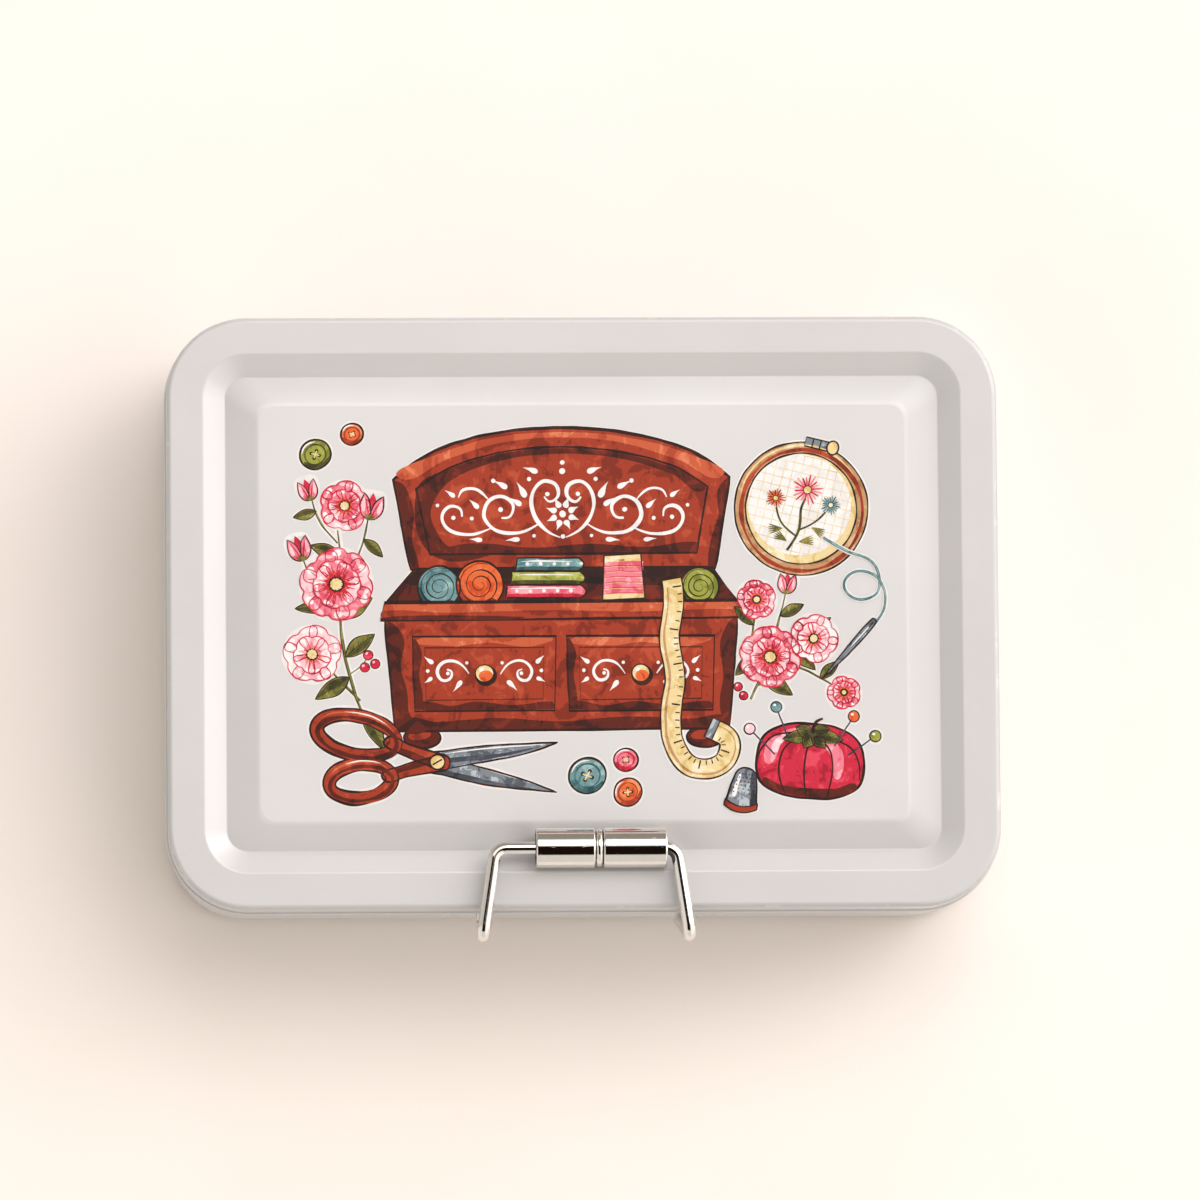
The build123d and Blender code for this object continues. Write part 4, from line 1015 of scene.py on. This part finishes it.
def flowers_right():
    g = Print("flowers_right", lift=20)
    stem(g, [(38.0, -20.0), (42.0, -13.0), (47.0, -8.6), (54.0, -5.0)], 0.6)
    stem(g, [(40.0, -17.0), (38.4, -8.0), (39.6, 1.0)], 0.5)
    stem(g, [(44.0, -11.0), (51.0, -13.6), (58.0, -17.6)], 0.5)
    stem(g, [(41.6, -13.6), (44.4, -3.0), (46.4, 4.6)], 0.45)
    for a in ((41.0, -15.0, 47.6, -19.2, 3.4, 1), (38.6, -10.0, 34.6, -14.6, 2.8, 1), (48.0, -8.2, 53.0, -13.4, 3.0, -1), (50.0, -6.8, 56.6, -1.4, 3.2, 1), (39.0, -3.0, 34.4, 1.2, 2.8, -1), (45.0, -1.0, 50.4, 1.6, 2.6, 1), (54.0, -15.4, 58.4, -11.4, 2.6, 1)):
        leaf(g, *a[:5], level=8, mirror=a[5])
    bloom(g.local((42.6, -10.4), 5), 6.8, 6, seed=11.0, level=10, colors=("pink", "red", "pink_lit"))
    bloom(g.local((52.6, -6.2), 30), 5.2, 5, seed=14.0, level=10, colors=("pink_lit", "pink", "white"))
    bloom(g.local((39.6, 2.8), -10), 4.2, 5, seed=17.0, level=10)
    tulip(g.local((46.4, 4.2), -6), 4.4, level=10)
    bloom(g.local((59.4, -18.6), 0), 3.6, 5, seed=19.0, level=10, colors=("pink", "red", "pink_lit"))
    for x, y in ((36.4, -19.2), (35.2, -17.2)):
        berry(g, x, y, 1.0, 9)


chest()
chest_lid()
cloths()
flowers_left()
flowers_right()
shears()
hoop()
pincushion()
tape()
buttons()
thimble()
lay_prints()


# ------------------------------------------------------------ floor and light

def make_floor():
    # open under the flat of the tin's foot, which covers the opening from above
    inner, outer = [], []
    hx, hy, r = 0.0831, 0.0559, 0.0075
    for qx, qy, start in ((1, 1, 0), (-1, 1, 90), (-1, -1, 180), (1, -1, 270)):
        for k in range(13):
            a = math.radians(start + 7.5 * k)
            x, y = qx * (hx - r) + r * math.cos(a), qy * (hy - r) + r * math.sin(a)
            far = 4.0 / max(abs(x), abs(y))
            inner.append((x, y, -0.00002))
            outer.append((x * far, y * far, -0.00002))
    count = len(inner)
    faces = [(k, count + k, count + (k + 1) % count, (k + 1) % count) for k in range(count)]
    mesh = bpy.data.meshes.new("floor")
    mesh.from_pydata(inner + outer, [], faces)
    mesh.update()
    floor = bpy.data.objects.new("floor", mesh)
    bpy.context.scene.collection.objects.link(floor)
    mat, n = material("floor_matt")
    cloud = n.noise(n.p, 14.0, 4.0, 0.5)
    color = n.mix(n.step(cloud, 0.3, 0.7), (0.814, 0.740, 0.689), (0.826, 0.754, 0.705))
    finish_shader(n, color, 0.0, 0.9, n.bump(n.math("MULTIPLY", n.noise(n.p, 500.0, 3.0), 0.00002), 1.0, 1.0), specular=0.2)
    mesh.materials.append(mat)


make_floor()

def make_world():
    world = bpy.data.worlds.new("studio")
    bpy.context.scene.world = world
    world.use_nodes = True
    tree = world.node_tree
    tree.nodes.clear()
    n = Nodes(tree)
    out = tree.nodes.new("ShaderNodeOutputWorld")
    back = tree.nodes.new("ShaderNodeBackground")
    tree.links.new(back.outputs[0], out.inputs[0])
    coords = tree.nodes.new("ShaderNodeTexCoord")
    x, y, z = n.split(coords.outputs["Generated"])
    # a pale room: its left and front walls, and the part between them and the back
    color = n.mix(n.step(x, -0.5, -0.35), (0.98, 0.93, 0.875), (0.84, 0.805, 0.755))
    color = n.mix(n.step(y, -0.1, 0.1), color, (0.70, 0.66, 0.61))
    # darker low down at the back
    low = n.math("MULTIPLY", n.step(y, 0.15, 0.75), n.step(z, 0.72, 0.60))
    low = n.math("MULTIPLY", low, n.step(z, 0.06, 0.12))
    color = n.mix(low, color, (0.35, 0.318, 0.275))
    # a bright panel high at the back
    high = n.math("MULTIPLY", n.step(y, 0.12, 0.20), n.step(z, 0.68, 0.74))
    high = n.math("MULTIPLY", high, n.step(x, -0.62, -0.50))
    color = n.mix(high, color, (1.40, 1.32, 1.21))
    # the dark part of the room over the tin
    over = n.math("SUBTRACT", y, n.math("MULTIPLY", n.math("ABSOLUTE", x), 0.45))
    dark = n.math("MULTIPLY", n.step(over, 0.085, 0.045), n.step(y, -0.74, -0.66))
    dark = n.math("MULTIPLY", dark, n.step(z, 0.55, 0.68))
    dark = n.math("MULTIPLY", dark, n.math("MULTIPLY", n.step(x, 0.30, 0.23), n.step(x, -0.62, -0.50)))
    color = n.mix(dark, color, (0.012, 0.006, 0.004))
    # the windows along the right, brighter towards the back
    window = n.mix(n.step(y, -0.05, 0.15), (1.37, 1.26, 1.16), (1.66, 1.58, 1.46))
    window = n.mix(n.math("MULTIPLY", n.step(x, 0.62, 0.80), n.step(y, -0.35, -0.10)), window, (2.9, 2.8, 2.66))
    color = n.mix(n.step(x, 0.30, 0.50), color, window)
    n.set(back, "Color", color)
    n.set(back, "Strength", 1.0)


make_world()


def area(name, azimuth, elevation, distance, size, power, color):
    """A soft panel light that looks at the tin. Azimuth 0 is from the front and 90 from the right."""
    a, e = math.radians(azimuth), math.radians(elevation)
    back = Vector((math.sin(a) * math.cos(e), -math.cos(a) * math.cos(e), math.sin(e)))
    data = bpy.data.lights.new(name, "AREA")
    data.shape = "RECTANGLE"
    data.size, data.size_y = size
    data.energy = power
    data.color = color
    light = bpy.data.objects.new(name, data)
    light.matrix_world = Matrix.Translation(Vector((0, 0, 0.03)) + back * distance) @ back.to_track_quat("Z", "Y").to_matrix().to_4x4()
    light.visible_camera = False
    bpy.context.scene.collection.objects.link(light)
    return light


area("key", 119.0, 33.0, 4.4, (2.2, 2.2), 40.0, (0.86, 0.87, 0.93))
area("high", 148.0, 61.0, 4.4, (2.8, 2.8), 57.0, (0.93, 0.92, 0.99))
fill = area("fill", -50.0, 40.0, 4.4, (3.6, 3.6), 38.0, (1.0, 0.985, 0.91))
fill.visible_glossy = False
rake = area("rake", 176.0, 12.0, 4.4, (2.6, 0.8), 64.0, (0.94, 0.93, 0.99))
rake.visible_glossy = False

scene = bpy.context.scene
scene.view_settings.view_transform = "Standard"
scene.view_settings.look = "None"
scene.view_settings.exposure = 0.0
scene.view_settings.gamma = 1.0
